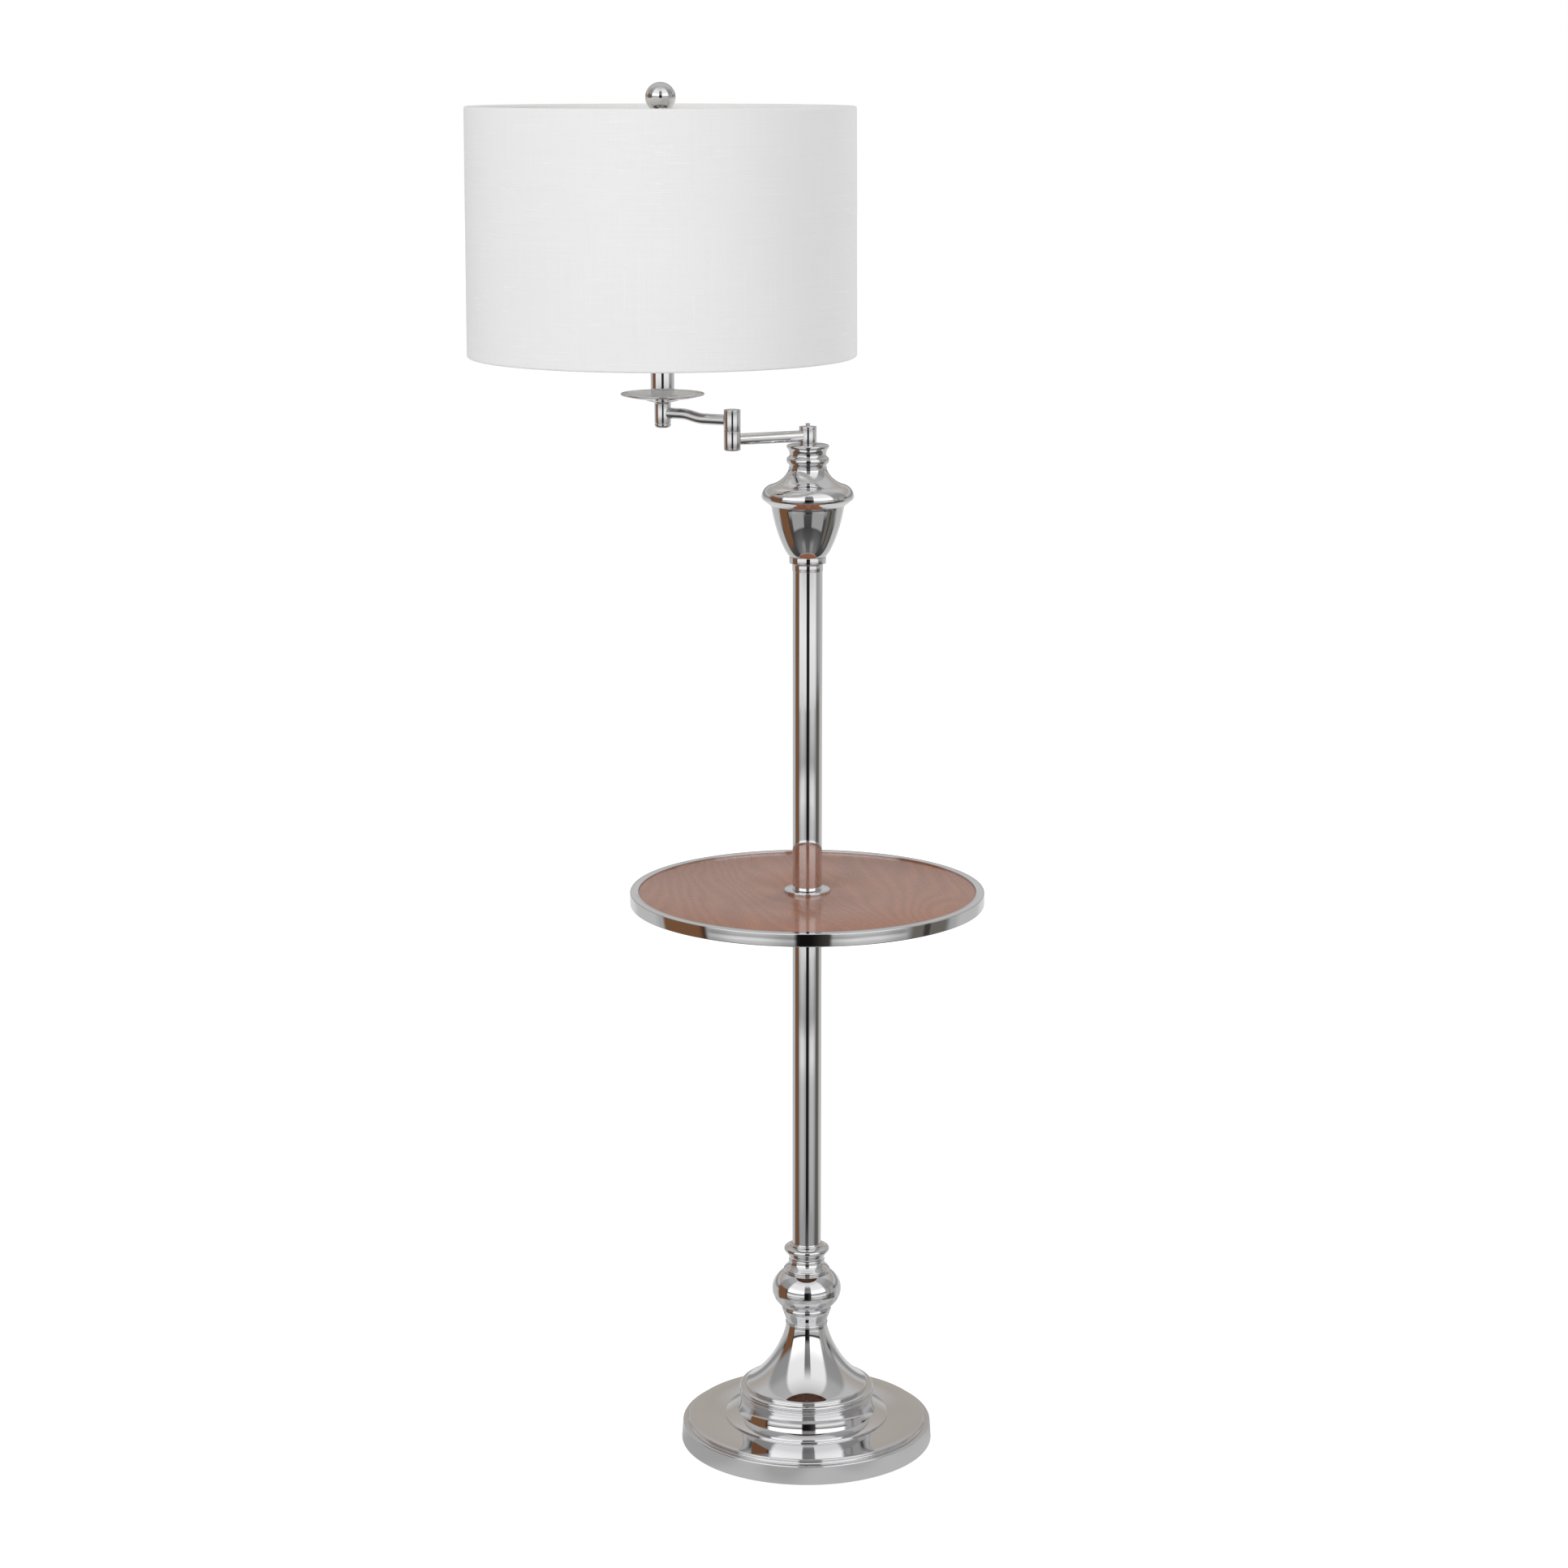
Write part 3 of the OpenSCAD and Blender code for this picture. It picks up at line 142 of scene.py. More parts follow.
class LampArmSizes(PropertyGroup):
    rise: length("Bend rise", "Rise of the upper arm's double bend", 0.0041)
    run: length("Bend length", "Length of the upper arm's double bend", 0.028)
    bend_at: length("Bend place", "Distance from the elbow's axis to the double bend", 0.046)
    pan_wall: length("Pan thickness", "Thickness of the drip pan", 0.0013)


class LampShadeSizes(PropertyGroup):
    foot: length("Shade foot", "Diameter of the shade at its foot", 0.407)
    top: length("Shade top", "Diameter of the shade at its top", 0.4036)
    cloth: length("Cloth thickness", "Thickness of the shade's cloth", 0.0008)
    ring: length("Wire ring", "Diameter of the wire in the shade's hems", 0.0032)
    hem: length("Hem", "Length of the hem that is turned over each ring", 0.008)
    seam: length("Seam width", "Width of the glued overlap at the back", 0.012)
    ripple: length("Ripple", "How far the cloth strays from a true drum", 0.0003)


class LampFinishes(PropertyGroup):
    chrome: colour("Chrome", "Colour of the plated pieces", (0.80, 0.80, 0.81))
    chrome_gloss: share("Chrome roughness", "Roughness of the plated pieces", 0.035)
    nickel: colour("Nickel", "Colour of the fittings inside the shade", (0.62, 0.60, 0.57))
    wood_dark: colour("Wood, dark", "Colour of the veneer's grain lines", (0.262, 0.082, 0.034))
    wood_light: colour("Wood, light", "Colour between the grain lines", (0.395, 0.137, 0.062))
    linen: colour("Linen", "Colour of the shade's cloth", (0.79, 0.782, 0.782))
    lining: colour("Lining", "Colour of the shade's inner side", (0.86, 0.85, 0.82))
    glass: colour("Bulb glass", "Colour of the frosted bulb", (0.86, 0.85, 0.81))
    grain_turn: angle("Grain turn", "How far the veneer's grain turns from the view", -14)


class LampStudio(PropertyGroup):
    camera_height: length("Camera height", "Height of the camera above the floor", 1.502, 0, 10)
    camera_distance: length("Camera distance", "Distance from the pole to the camera", 3.56, 0, 10)
    camera_side: length("Camera side", "How far right of the pole the camera is", -0.025, -1, 1)
    camera_pitch: angle("Camera pitch", "How far the camera looks down", 12.03)
    lens: FloatProperty(name="Lens", description="Focal length in millimetres", default=77.99)
    key: watts("Key light", 62)
    fill: watts("Fill light", 22)
    back: watts("Back light", 36)
    air: share("Soft light", "Strength of the light from all sides", 0.60)
    sides: IntProperty(name="Sides", description="Steps round a turned piece", default=160, min=12)


def sizes(name):
    """The scene's values of one group of properties."""
    return getattr(bpy.context.scene, "lamp_" + name)


# Outlines, in millimetres as [radius, height] --------

CORNER_TURN = math.radians(24)
CORNER_SHARE = 0.42


def arc(centre, radius, start, end, count=14):
    """Points centre + radius (cos t, sin t) for t from start to end, in degrees."""
    return oval(centre, radius, radius, start, end, count)


def oval(centre, across, up, start, end, count):
    """Points centre + (across cos t, up sin t) for t from start to end, in degrees."""
    t = np.radians(np.linspace(start, end, count + 1))
    return np.array(centre) + np.stack([across * np.cos(t), up * np.sin(t)], 1)


def curve(p, q, r, s, count=44):
    """Cubic u^3 p + 3 u^2 t q + 3 u t^2 r + t^3 s, with u = 1 - t, for t from 0 to 1."""
    t = np.linspace(0, 1, count + 1)[:, None]
    u = 1 - t
    p, q, r, s = map(np.array, (p, q, r, s))
    return u**3 * p + 3 * u * u * t * q + 3 * u * t * t * r + t**3 * s


def outline(*stretches):
    """One line through all the stretches, each a list of points or a single point."""
    return np.vstack([np.atleast_2d(np.array(s, float)) for s in stretches])


def distinct(points, least):
    """The points that lie more than least from the one before."""
    return points[np.r_[True, np.linalg.norm(np.diff(points, axis=0), axis=1) > least]]


def eased(points, size, closed, steps=5):
    """Rounds each corner that turns more than CORNER_TURN with a parabola.

    A corner P between unit vectors a and b becomes (1 - t)^2 (P + d a) + 2 t (1 - t) P
    + t^2 (P + d b), where d is size, or CORNER_SHARE of the shorter side if that is less."""
    points = distinct(points, 1e-4)
    back, ahead = np.roll(points, 1, 0) - points, np.roll(points, -1, 0) - points
    reach_back = np.linalg.norm(back, axis=1, keepdims=True)
    reach_ahead = np.linalg.norm(ahead, axis=1, keepdims=True)
    back, ahead = back / reach_back, ahead / reach_ahead
    sharp = (back * ahead).sum(1) > -math.cos(CORNER_TURN)
    if not closed:
        sharp[[0, -1]] = False
    room = CORNER_SHARE * np.minimum(reach_back, reach_ahead)
    d = np.where(sharp[:, None], np.minimum(size, room), 0)
    t = np.linspace(0, 1, steps)[:, None, None]
    u = 1 - t
    rounded = u**2 * (points + d * back) + 2 * t * u * points + t**2 * (points + d * ahead)
    return distinct(rounded.transpose(1, 0, 2).reshape(-1, 2), 1e-5)


# Surfaces --------

CREASE = math.radians(40)  # Faces that meet at more than this stay sharp
POINT_SIZE = 1e-7  # In metres
BORE = 5.1  # Radius of the hole for the threaded pipe
QUAD = [[0, 0], [0, 1], [1, 1], [1, 0]]  # Steps in row and column to a face's corners


def skin(name, points, closed=False, spacing=None):
    """A mesh over a grid of points whose columns run round and close.

    closed joins the last row to the first, and a row no wider than POINT_SIZE becomes a pole.
    spacing gives each row's and each column's distance for the UV map, in metres."""
    rows, columns = points.shape[:2]
    index = np.arange(rows * columns).reshape(rows, columns)
    pole = np.ptp(points, axis=1).max(1) < POINT_SIZE
    index[pole] = index[pole][:, :1]
    if closed:
        index = np.vstack([index, index[:1]])
    right = np.roll(index, -1, 1)
    corners = np.stack([index[:-1], right[:-1], right[1:], index[1:]], -1).reshape(-1, 4)
    place = np.stack(np.meshgrid(np.arange(len(index) - 1), np.arange(columns), indexing="ij"), -1)
    place = (place[:, :, None] + QUAD).reshape(-1, 4, 2)
    keep = corners != np.roll(corners, -1, 1)
    used, corners = np.unique(corners, return_inverse=True)
    corners = corners.reshape(-1, 4)
    starts = np.r_[0, np.cumsum(keep.sum(1))]
    mesh = bpy.data.meshes.new(name)
    mesh.vertices.add(len(used))
    mesh.vertices.foreach_set("co", points.reshape(-1, 3)[used].ravel())
    mesh.loops.add(int(keep.sum()))
    mesh.loops.foreach_set("vertex_index", corners[keep].astype(np.int32))
    mesh.polygons.add(len(keep))
    mesh.polygons.foreach_set("loop_start", starts[:-1].astype(np.int32))
    mesh.update(calc_edges=True)
    mesh.validate()
    if spacing is not None:
        up, across = spacing
        layer = mesh.uv_layers.new(name="surface")
        flat = np.stack([across[place[..., 1]], up[place[..., 0]]], -1)[keep]
        layer.data.foreach_set("uv", flat.ravel())
    mesh.shade_smooth()
    mesh.set_sharp_from_angle(angle=CREASE)
    piece = bpy.data.objects.new(name, mesh)
    bpy.context.scene.collection.objects.link(piece)
    return piece


def around(count):
    """Angles of a full turn, without its end."""
    return np.linspace(0, 2 * math.pi, count, endpoint=False)


def turned(name, side, centre=ORIGIN, z=0.0, ease=0.35, ripple=None, mapped=False):
    """The side [r, h] carried round the upright axis: (r cos a, r sin a, z + h) for all a.

    A side that begins off the axis is the whole cut of a ring. ripple(a, h) is added to r,
    and mapped makes a UV map in metres."""
    closed = side[0, 0] > 0
    side = eased(side, ease, closed) if ease else side
    a = around(sizes("studio").sides)
    r = side[:, :1] * MM
    if ripple is not None:
        r = r + ripple(a[None], side[:, 1:] * MM)
    height = np.broadcast_to((side[:, 1:] + z) * MM, (len(side), len(a)))
    points = np.stack([r * np.cos(a), r * np.sin(a), height], -1) + np.asarray(centre)
    spacing = None
    if mapped:
        loop = np.vstack([side, side[:1]]) * MM
        along = np.r_[0, np.cumsum(np.linalg.norm(np.diff(loop, axis=0), axis=1))]
        spacing = along, np.linspace(0, 2 * math.pi * side[:, 0].max() * MM, len(a) + 1)
    return skin(name, points, closed, spacing)


def ring_cut(side):
    """The cut of a piece with the pipe's hole, which joins the two ends of its side."""
    return outline([BORE, side[0, 1]], side, [BORE, side[-1, 1]])


def carried(name, course, radius, heading, origin=ORIGIN, count=48):
    """A round bar carried along [x, z, turn] in an upright plane.

    A ring is p + r (cos a N + sin a Y), with N square to the course, and discs close its ends."""
    x, z, turn = np.asarray(course, float).T
    a = around(count)
    ends = np.r_[0, np.full(len(x), radius), 0]
    x, z, turn = (np.r_[v[0], v, v[-1]][:, None] for v in (x, z, turn))
    off, aside = ends[:, None] * np.cos(a), ends[:, None] * np.sin(a)
    flat = np.stack([x - off * np.sin(turn), aside, z + off * np.cos(turn)], -1) * MM
    # The columns run backwards, so that the faces point outwards
    return skin(name, turned_by(flat, heading)[:, ::-1] + np.asarray(origin))


def turned_by(points, heading):
    """The points turned by heading round the upright axis."""
    c, s = math.cos(heading), math.sin(heading)
    return points @ np.array([[c, s, 0], [-s, c, 0], [0, 0, 1]])


def bend(x, z, radius, start, end, count=16):
    """Stations [x, z, heading] of an arc round (x, z) that turns from heading start to end."""
    t = np.radians(np.linspace(start, end, count + 1))
    side = math.copysign(1, end - start)
    return np.stack([x + side * radius * np.sin(t), z - side * radius * np.cos(t), t], 1)


# Finishes --------

class Signal:
    """A number that varies over a surface. Sums and products of it add Math nodes."""

    def __init__(self, recipe, socket):
        self.recipe, self.socket = recipe, socket

    def maths(self, operation, *others):
        """The operation on this number and the others."""
        sockets = dict(enumerate((self, *others)))
        node = self.recipe.node("Math", sockets, operation=operation)
        return Signal(self.recipe, node.outputs[0])

    def __add__(self, other):
        return self.maths("ADD", other)

    def __sub__(self, other):
        return self.maths("SUBTRACT", other)

    def __mul__(self, other):
        return self.maths("MULTIPLY", other)

    def over(self, low, high, start=0.0, end=1.0):
        """Smoothly from start, where the number is low, to end, where it is high."""
        node = self.recipe.node("MapRange", {0: self, 1: low, 2: high, 3: start, 4: end},
                                interpolation_type="SMOOTHSTEP")
        return Signal(self.recipe, node.outputs[0])

    def band(self, centre, half, soft):
        """1 within half of centre, falling smoothly to 0 over soft."""
        return (self - centre).maths("ABSOLUTE").over(half, half + soft, 1, 0)

    def graded(self, *stops):
        """The colour that each [number, grey or colour] stop gives, blended in between."""
        low, high = stops[0][0], stops[-1][0]
        tints = [((n - low) / (high - low), (c, c, c) if isinstance(c, float) else c)
                 for n, c in stops]
        place = (self - low) * (1 / (high - low))
        return self.recipe.node("ValToRGB", {0: place}, stops=tints).outputs[0]


class Recipe:
    """The nodes of one material or of the world."""

    def __init__(self, owner):
        owner.use_nodes = True
        self.tree = owner.node_tree
        self.tree.nodes.clear()

    def node(self, kind, sockets=None, **settings):
        """A shader node with its settings made first, and then its sockets set or linked."""
        made = self.tree.nodes.new("ShaderNode" + kind)
        for name, value in settings.items():
            if name == "stops":
                stops = made.color_ramp.elements
                for place, _ in value[1:-1]:
                    stops.new(place)
                for stop, (_, tint) in zip(stops, value):
                    stop.color = (*tint, 1)
            else:
                setattr(made, name, value)
        for name, value in (sockets or {}).items():
            value = value.socket if isinstance(value, Signal) else value
            if isinstance(value, bpy.types.NodeSocket):
                self.tree.links.new(value, made.inputs[name])
            else:
                made.inputs[name].default_value = value
        return made

    def place(self, kind="Object"):
        """Where a point lies, in the object's own metres or another kind of coordinates."""
        return self.node("TexCoord").outputs[kind]

    def axes(self, vector):
        """The three numbers of a vector."""
        return [Signal(self, out) for out in self.node("SeparateXYZ", {0: vector}).outputs]

    def mapped(self, vector, scale=(1, 1, 1), turn=(0, 0, 0)):
        """The vector turned and stretched."""
        sockets = {"Vector": vector, "Scale": scale, "Rotation": turn}
        return self.node("Mapping", sockets).outputs[0]

    def noise(self, vector, scale, detail, rough=0.55, distortion=0.0):
        """Cloudy noise of about 0.5, with scale swings to a metre."""
        made = self.node("TexNoise", {
            "Vector": vector, "Scale": scale, "Detail": detail, "Roughness": rough,
            "Distortion": distortion})
        return Signal(self, made.outputs["Fac"])

    def mix(self, factor, first, second):
        """From the first colour, where the factor is 0, to the second, where it is 1."""
        first, second = ((*c, 1) if isinstance(c, tuple) else c for c in (first, second))
        sockets = {0: factor, 6: first, 7: second}  # 6, 7 and output 2 are the colours
        return self.node("Mix", sockets, data_type="RGBA").outputs[2]

    def bump(self, height, depth):
        """The normal over a relief whose height 1 stands for depth metres."""
        sockets = {"Height": height, "Distance": depth, "Strength": 1.0}
        return self.node("Bump", sockets).outputs[0]

    def finish(self, sockets):
        """Ends a material in a Principled shader with these sockets."""
        shader = self.node("BsdfPrincipled", sockets)
        self.node("OutputMaterial", {"Surface": shader.outputs[0]})


def material(name):
    """A new material and the recipe that fills it."""
    made = bpy.data.materials.new(name)
    return made, Recipe(made)


def tinted(tint, part=1.0):
    """A part of a colour, at most white."""
    return tuple(min(1.0, part * c) for c in tint)


def polished_chrome():
    """Mirror plate with faint wiping marks and the slight waviness of buffed metal."""
    made, r = material("polished_chrome")
    f = sizes("finishes")
    at = r.place()
    smears = r.noise(r.mapped(at, (1, 1, 0.35)), 26, detail=4, rough=0.6).over(0.45, 0.75)
    haze = r.noise(at, 9, detail=2).over(0.35, 0.7)
    waves = r.noise(at, 38, detail=1, rough=0.4)
    r.finish({
        "Base Color": r.mix(haze * 0.5, tinted(f.chrome), tinted(f.chrome, 0.94)),
        "Metallic": 1.0,
        "Roughness": smears * 0.035 + f.chrome_gloss,
        "Normal": r.bump(waves, depth=0.00006),
    })
    return made


def satin_metal(name, tint, rough):
    """Plated or bare fitting metal with fine drawn lines and a little tarnish."""
    made, r = material(name)
    at = r.place()
    lines = r.noise(r.mapped(at, (30, 30, 400)), 3, detail=3, rough=0.6)
    dull = r.noise(at, 60, detail=3).over(0.4, 0.75)
    r.finish({
        "Base Color": r.mix(dull * 0.6, tinted(tint), tinted(tint, 0.72)),
        "Metallic": 1.0,
        "Roughness": lines * 0.16 + dull * 0.08 + rough,
        "Normal": r.bump(lines, depth=0.00004),
    })
    return made


def satin_wood():
    """Veneer under satin lacquer, with figured grain, pores and a faint grain relief.

    The rings are sin(420 x + 120 n) and the relief's ridges sin(1500 x + 14 n), for x across
    the grain in metres and a slow noise n. The board below its top veneer is darker: painted
    shade on its edge and underside."""
    made, r = material("satin_veneer")
    f = sizes("finishes")
    at = r.place()
    grain = r.mapped(at, turn=(0, 0, f.grain_turn))
    across, upright, top = r.axes(grain)[0], r.axes(at)[2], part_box("table_board")[1].z
    figure = r.noise(r.mapped(grain, (5.5, 1.4, 1)), 1.5, detail=2, rough=0.45, distortion=0.3)
    rings = (across * 420 + figure * 120).maths("SINE")
    fibre = r.noise(r.mapped(grain, (900, 30, 900)), 1, detail=3, rough=0.6)
    pores = r.noise(r.mapped(grain, (1500, 42, 1500)), 1, detail=2, rough=0.5).over(0.58, 0.72)
    tone = r.noise(r.mapped(grain, (9, 3, 1)), 1, detail=3, rough=0.5)
    drift = r.noise(r.mapped(grain, (40, 8, 1)), 1, detail=2)
    ridges = (across * 1500 + drift * 14).maths("SINE")
    light = rings * 0.12 + fibre * 0.45 + tone * 0.35 + 0.10
    body = r.mix(light.over(0.1, 0.95), tinted(f.wood_dark), tinted(f.wood_light))
    body = r.mix(pores * 0.15, body, tinted(f.wood_dark, 0.5))
    # Mask of the top veneer; below it the board gets painted shade, a darker colour for its shaded
    # edge and underside
    veneer = upright.over(top - 0.004, top - 0.002)
    r.finish({
        "Base Color": r.mix(veneer, tinted(f.wood_dark, 0.4), body),
        "Roughness": fibre * 0.12 + 0.22,
        "Coat Weight": 0.62,
        "Coat Roughness": 0.1,
        "Normal": r.bump(ridges * 0.14 + fibre - pores * 0.35, depth=0.00026),
    })
    return made


def slub_linen():
    """White linen laid on a stiff lining, woven in fine threads with slubs both ways.

    A thread is noise stretched along a UV axis, and a slub is its highest swings."""
    made, r = material("slub_linen")
    f = sizes("finishes")
    at = r.place("UV")
    weft = r.noise(r.mapped(at, (9, 620, 1)), 1, detail=3, rough=0.6)
    warp = r.noise(r.mapped(at, (700, 6, 1)), 1, detail=3, rough=0.6)
    cross = r.noise(r.mapped(at, (1500, 1500, 1)), 1, detail=1)
    bunch = r.noise(r.mapped(at, (7, 13, 1)), 1, detail=1).over(0.47, 0.60)
    thick = r.noise(r.mapped(at, (17, 560, 1)), 1, detail=2, rough=0.5).over(0.60, 0.70) * bunch
    upright = r.noise(r.mapped(at, (420, 8, 1)), 1, detail=2, rough=0.5).over(0.64, 0.74)
    slub = weft.over(0.60, 0.80) * 0.4 + thick + upright * 0.5
    thread = weft * 0.5 + warp * 0.5
    cloud = r.noise(at, 7, detail=2)
    shade = (thread * 0.9 + cloud * 0.35 + cross * 0.2).over(0.35, 1.05)
    body = r.mix(shade, tinted(f.linen, 0.945), tinted(f.linen))
    r.finish({
        "Base Color": r.mix(slub.maths("MINIMUM", 1.0) * 0.6, body, tinted(f.linen, 1.1)),
        "Roughness": cross * 0.1 + 0.82,
        "Sheen Weight": 0.12,
        "Sheen Roughness": 0.5,
        "Normal": r.bump(thread + slub * 0.6 + cross * 0.4, depth=0.00022),
    })
    return made


def plain(name, tint, rough, depth, scale, darker=0.8, coat=0.0):
    """A dull moulded, felted or cast surface, mottled and finely pitted."""
    made, r = material(name)
    at = r.place()
    pits = r.noise(at, scale, detail=3)
    mottle = r.noise(at, scale / 12, detail=2).over(0.3, 0.7)
    r.finish({
        "Base Color": r.mix(mottle, tinted(tint), tinted(tint, darker)),
        "Roughness": pits * 0.15 + rough,
        "Coat Weight": coat,
        "Normal": r.bump(pits, depth),
    })
    return made


FINISHES = {}


def finish_of(name):
    """The named finish, made the first time that a piece asks for it."""
    if name not in FINISHES:
        f = sizes("finishes")
        # Maker, name, colour, roughness, depth and scale of the pits, darkest share and coat
        maker, *values = {
            "chrome": (polished_chrome,),
            "nickel": (satin_metal, "satin_nickel", f.nickel, 0.2),
            "brass": (satin_metal, "bare_brass", (0.66, 0.45, 0.19), 0.22),
            "steel": (satin_metal, "zinc_steel", (0.50, 0.50, 0.51), 0.3),
            "iron": (plain, "cast_iron", (0.05, 0.05, 0.055), 0.55, 0.0004, 260),
            "felt": (plain, "green_felt", (0.03, 0.042, 0.03), 0.9, 0.0005, 900, 0.6),
            "rubber": (plain, "black_rubber", (0.02, 0.02, 0.021), 0.5, 0.00005, 500),
            "wood": (satin_wood,),
            "wire": (plain, "wire_sleeve", (0.70, 0.66, 0.55), 0.35, 0.00003, 300, 0.93),
            "phenolic": (plain, "moulded_black", (0.022, 0.021, 0.02), 0.3, 0.00004, 400),
            "bulb_glass": (plain, "frosted_glass", f.glass, 0.18, 0.00001, 700, 0.97, 0.6),
            "linen": (slub_linen,),
            "lining": (plain, "styrene_lining", f.lining, 0.5, 0.00004, 420, 0.97),
        }[name]
        FINISHES[name] = maker(*values)
    return FINISHES[name]


def dress(piece, body, finish, node):
    """Gives a piece its finish and its body, and hides the solid that it stands for."""
    piece.data.materials.clear()
    piece.data.materials.append(finish_of(finish))
    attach(piece, body)
    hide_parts(node)


# Pieces, where a bare number is an offset in mm, read off the photo --------

SEAT = 0.4  # Depth of the seats in the board for the rim's lip and the flange
TUBE_WALL, NECK_WALL = 1.2, 1.0
INTO_BARREL, STOP_SHORT = 1.5, 7  # Where an arm's tube begins and ends in its barrels
SEAM_AT, SEAM_FADE = math.radians(84), 0.0012


def chromed(name, node, side, z=0.0, body="stand", centre=ORIGIN, ease=0.35):
    """A chrome piece turned from its side, which stands for a solid and rides on a body."""
    dress(turned(name, side, centre, z, ease), body, "chrome", node)


def tube(name, node, wall, body="stand", centre=ORIGIN):
    """A plain tube as wide and as tall as its solid."""
    r, foot, top = spread(node)
    side = outline([[r - wall, foot], [r, foot], [r, top], [r - wall, top]])
    chromed(name, node, side, 0.0, body, centre, ease=0.25)


def barrel(name, node, body, centre):
    """An upright barrel as wide and as tall as its solid."""
    r, foot, top = spread(node)
    side = outline([[0, foot], [r, foot], [r, top], [0, top]])
    chromed(name, node, side, 0.0, body, centre, ease=0.4)


class LAMP_OT_base(Operator):
    """Build the base plate, step ring, drum and trumpet foot"""
    bl_idname = "lamp.base"
    bl_label = "Base"

    def execute(self, context):
        s = sizes("base")
        r, foot, top = spread("base_plate")
        lean, dish_rise, wall, bead = 1.3, 5.6, 3.2, 1.3
        rim, rim_z = r - lean, top - dish_rise
        groove = rim - s.rim_width / MM
        edge, crest, flat = s.edge / MM, groove - 1.6, spread("base_step")[0] + 0.8
        dish, under = crest - flat, groove - 3.1
        plate = outline(
            [[r, foot]], arc([rim - edge, rim_z - edge], edge, 0, 90),
            [[groove + 1.4, rim_z], [groove + 0.7, rim_z - 0.4], [groove, rim_z - 0.4]],
            [[groove - 1.1, rim_z + 0.8], [groove - 1.3, rim_z + 1.8]],
            arc([crest, top - bead - 0.9], bead, -50, 90),
            curve([crest - 0.1, top - 0.9], [crest - 0.3 * dish, top - 1.7],
                  [crest - 0.67 * dish, top - 0.9], [flat, top]),
            [[BORE, top], [BORE, top - wall], [under, top - wall]],
            [[under, rim_z - wall], [rim - 1.6, rim_z - wall], [r - 1.6, foot]])
        chromed("smooth_base_plate", "base_plate", plate, ease=0.3)

        r, foot, top = spread("base_step")
        step = outline([[r, 0]], arc([r - 1.4, 1], 1.4, 0, 75),
                       [[spread("base_drum")[0] + 1, top - foot]])
        chromed("smooth_base_step", "base_step", ring_cut(step), foot)

        r, foot, top = spread("base_drum")
        waist, height, lip = s.drum_waist / 2 / MM, s.drum_height / MM, r - 1
        bead = (top - foot - height - 1) / 2
        bead_z = height + 1
        drum = outline(
            curve([r, 0], [waist + 0.8, 0.2 * height], [waist, 0.4 * height],
                  [waist, 0.66 * height]),
            [[waist + 0.4, 0.72 * height], [lip - 0.3, height - 3]],
            arc([lip - 1.2, height - 1.2], 1.2, -20, 90),
            [[lip - 2.4, height], [lip - 2.4, bead_z]],
            arc([lip - 1 - bead, bead_z + bead], bead, -90, 90, 20))
        chromed("smooth_base_drum", "base_drum", ring_cut(drum), foot)

        r, foot, top = spread("base_flare")
        neck, height = s.flare_neck / 2 / MM, top - foot
        w = r - neck
        flare = outline(
            [[r, 0], [r, 3]],
            curve([r - 1, 3.8], [neck + 0.468 * w, 0.245 * height],
                  [neck + 0.08 * w, 0.693 * height], [neck, height - 2], 70), [[neck, height]])
        chromed("smooth_base_flare", "base_flare", ring_cut(flare), foot)
        return {"FINISHED"}


class LAMP_OT_stem(Operator):
    """Build the tapered cup, the ball and the cap under the pole"""
    bl_idname = "lamp.stem"
    bl_label = "Stem"

    def execute(self, context):
        s = sizes("base")
        r, foot, top = spread("stem_taper")
        neck, height = s.flare_neck / 2 / MM, top - foot
        taper = outline(
            arc([neck - 0.8, 1.4], 1.4, -80, 80),
            curve([neck - 0.5, 2.8], [neck + 0.4, 0.35 * height], [r - 1.6, 0.6 * height],
                  [r - 0.9, height - 5.4], 24),
            arc([r - 1.4, height - 3], 1.4, -60, 0, 8), [[r, height - 1.4], [r - 0.7, height]])
        chromed("smooth_taper", "stem_taper", ring_cut(taper), foot)

        r, foot, top = spread("stem_ball")
        rise = s.ball_rise / MM
        cut = math.degrees(math.asin((top - foot) / 2 / rise))
        ball = oval([0, (foot + top) / 2], r, rise, -cut, cut, 70)
        chromed("smooth_ball", "stem_ball", ring_cut(ball))

        _, foot, top = spread("stem_cap")
        neck, edge, height = s.stem_neck / 2 / MM, s.shoulder / 2 / MM, top - foot
        ring, ring_z = 3.3, height - 6.6
        ring_x, neck_top, collar = s.cap / 2 / MM - ring, ring_z - 10, spread("lower_tube")[0] + 2.6
        cap = outline(
            [[edge - 2.2, 0], [edge - 1.6, 0.6], [edge - 1.6, 1.4], [edge - 2, 1.8]],
            [[edge - 0.4, 2.2], [edge, 2.8], [edge, 3.8], [edge - 0.5, 4.5]],
            curve([edge - 0.8, 4.7], [edge - 3, 7.4], [neck + 0.3, 9], [neck, 13], 30),
            [[neck + 0.6, 13.6], [neck + 0.6, 14.6], [neck, 15.2]],
            curve([neck, neck_top], [neck + 0.3, neck_top + 3.6], [ring_x + 0.4, ring_z - 5],
                  [ring_x + 1.4, ring_z - 3.3], 24),
            arc([ring_x, ring_z], ring, -60, 90, 24),
            [[collar, ring_z + ring + 0.5], [collar, height - 0.8], [collar - 0.8, height]])
        chromed("smooth_cap", "stem_cap", ring_cut(cap), foot)
        return {"FINISHED"}


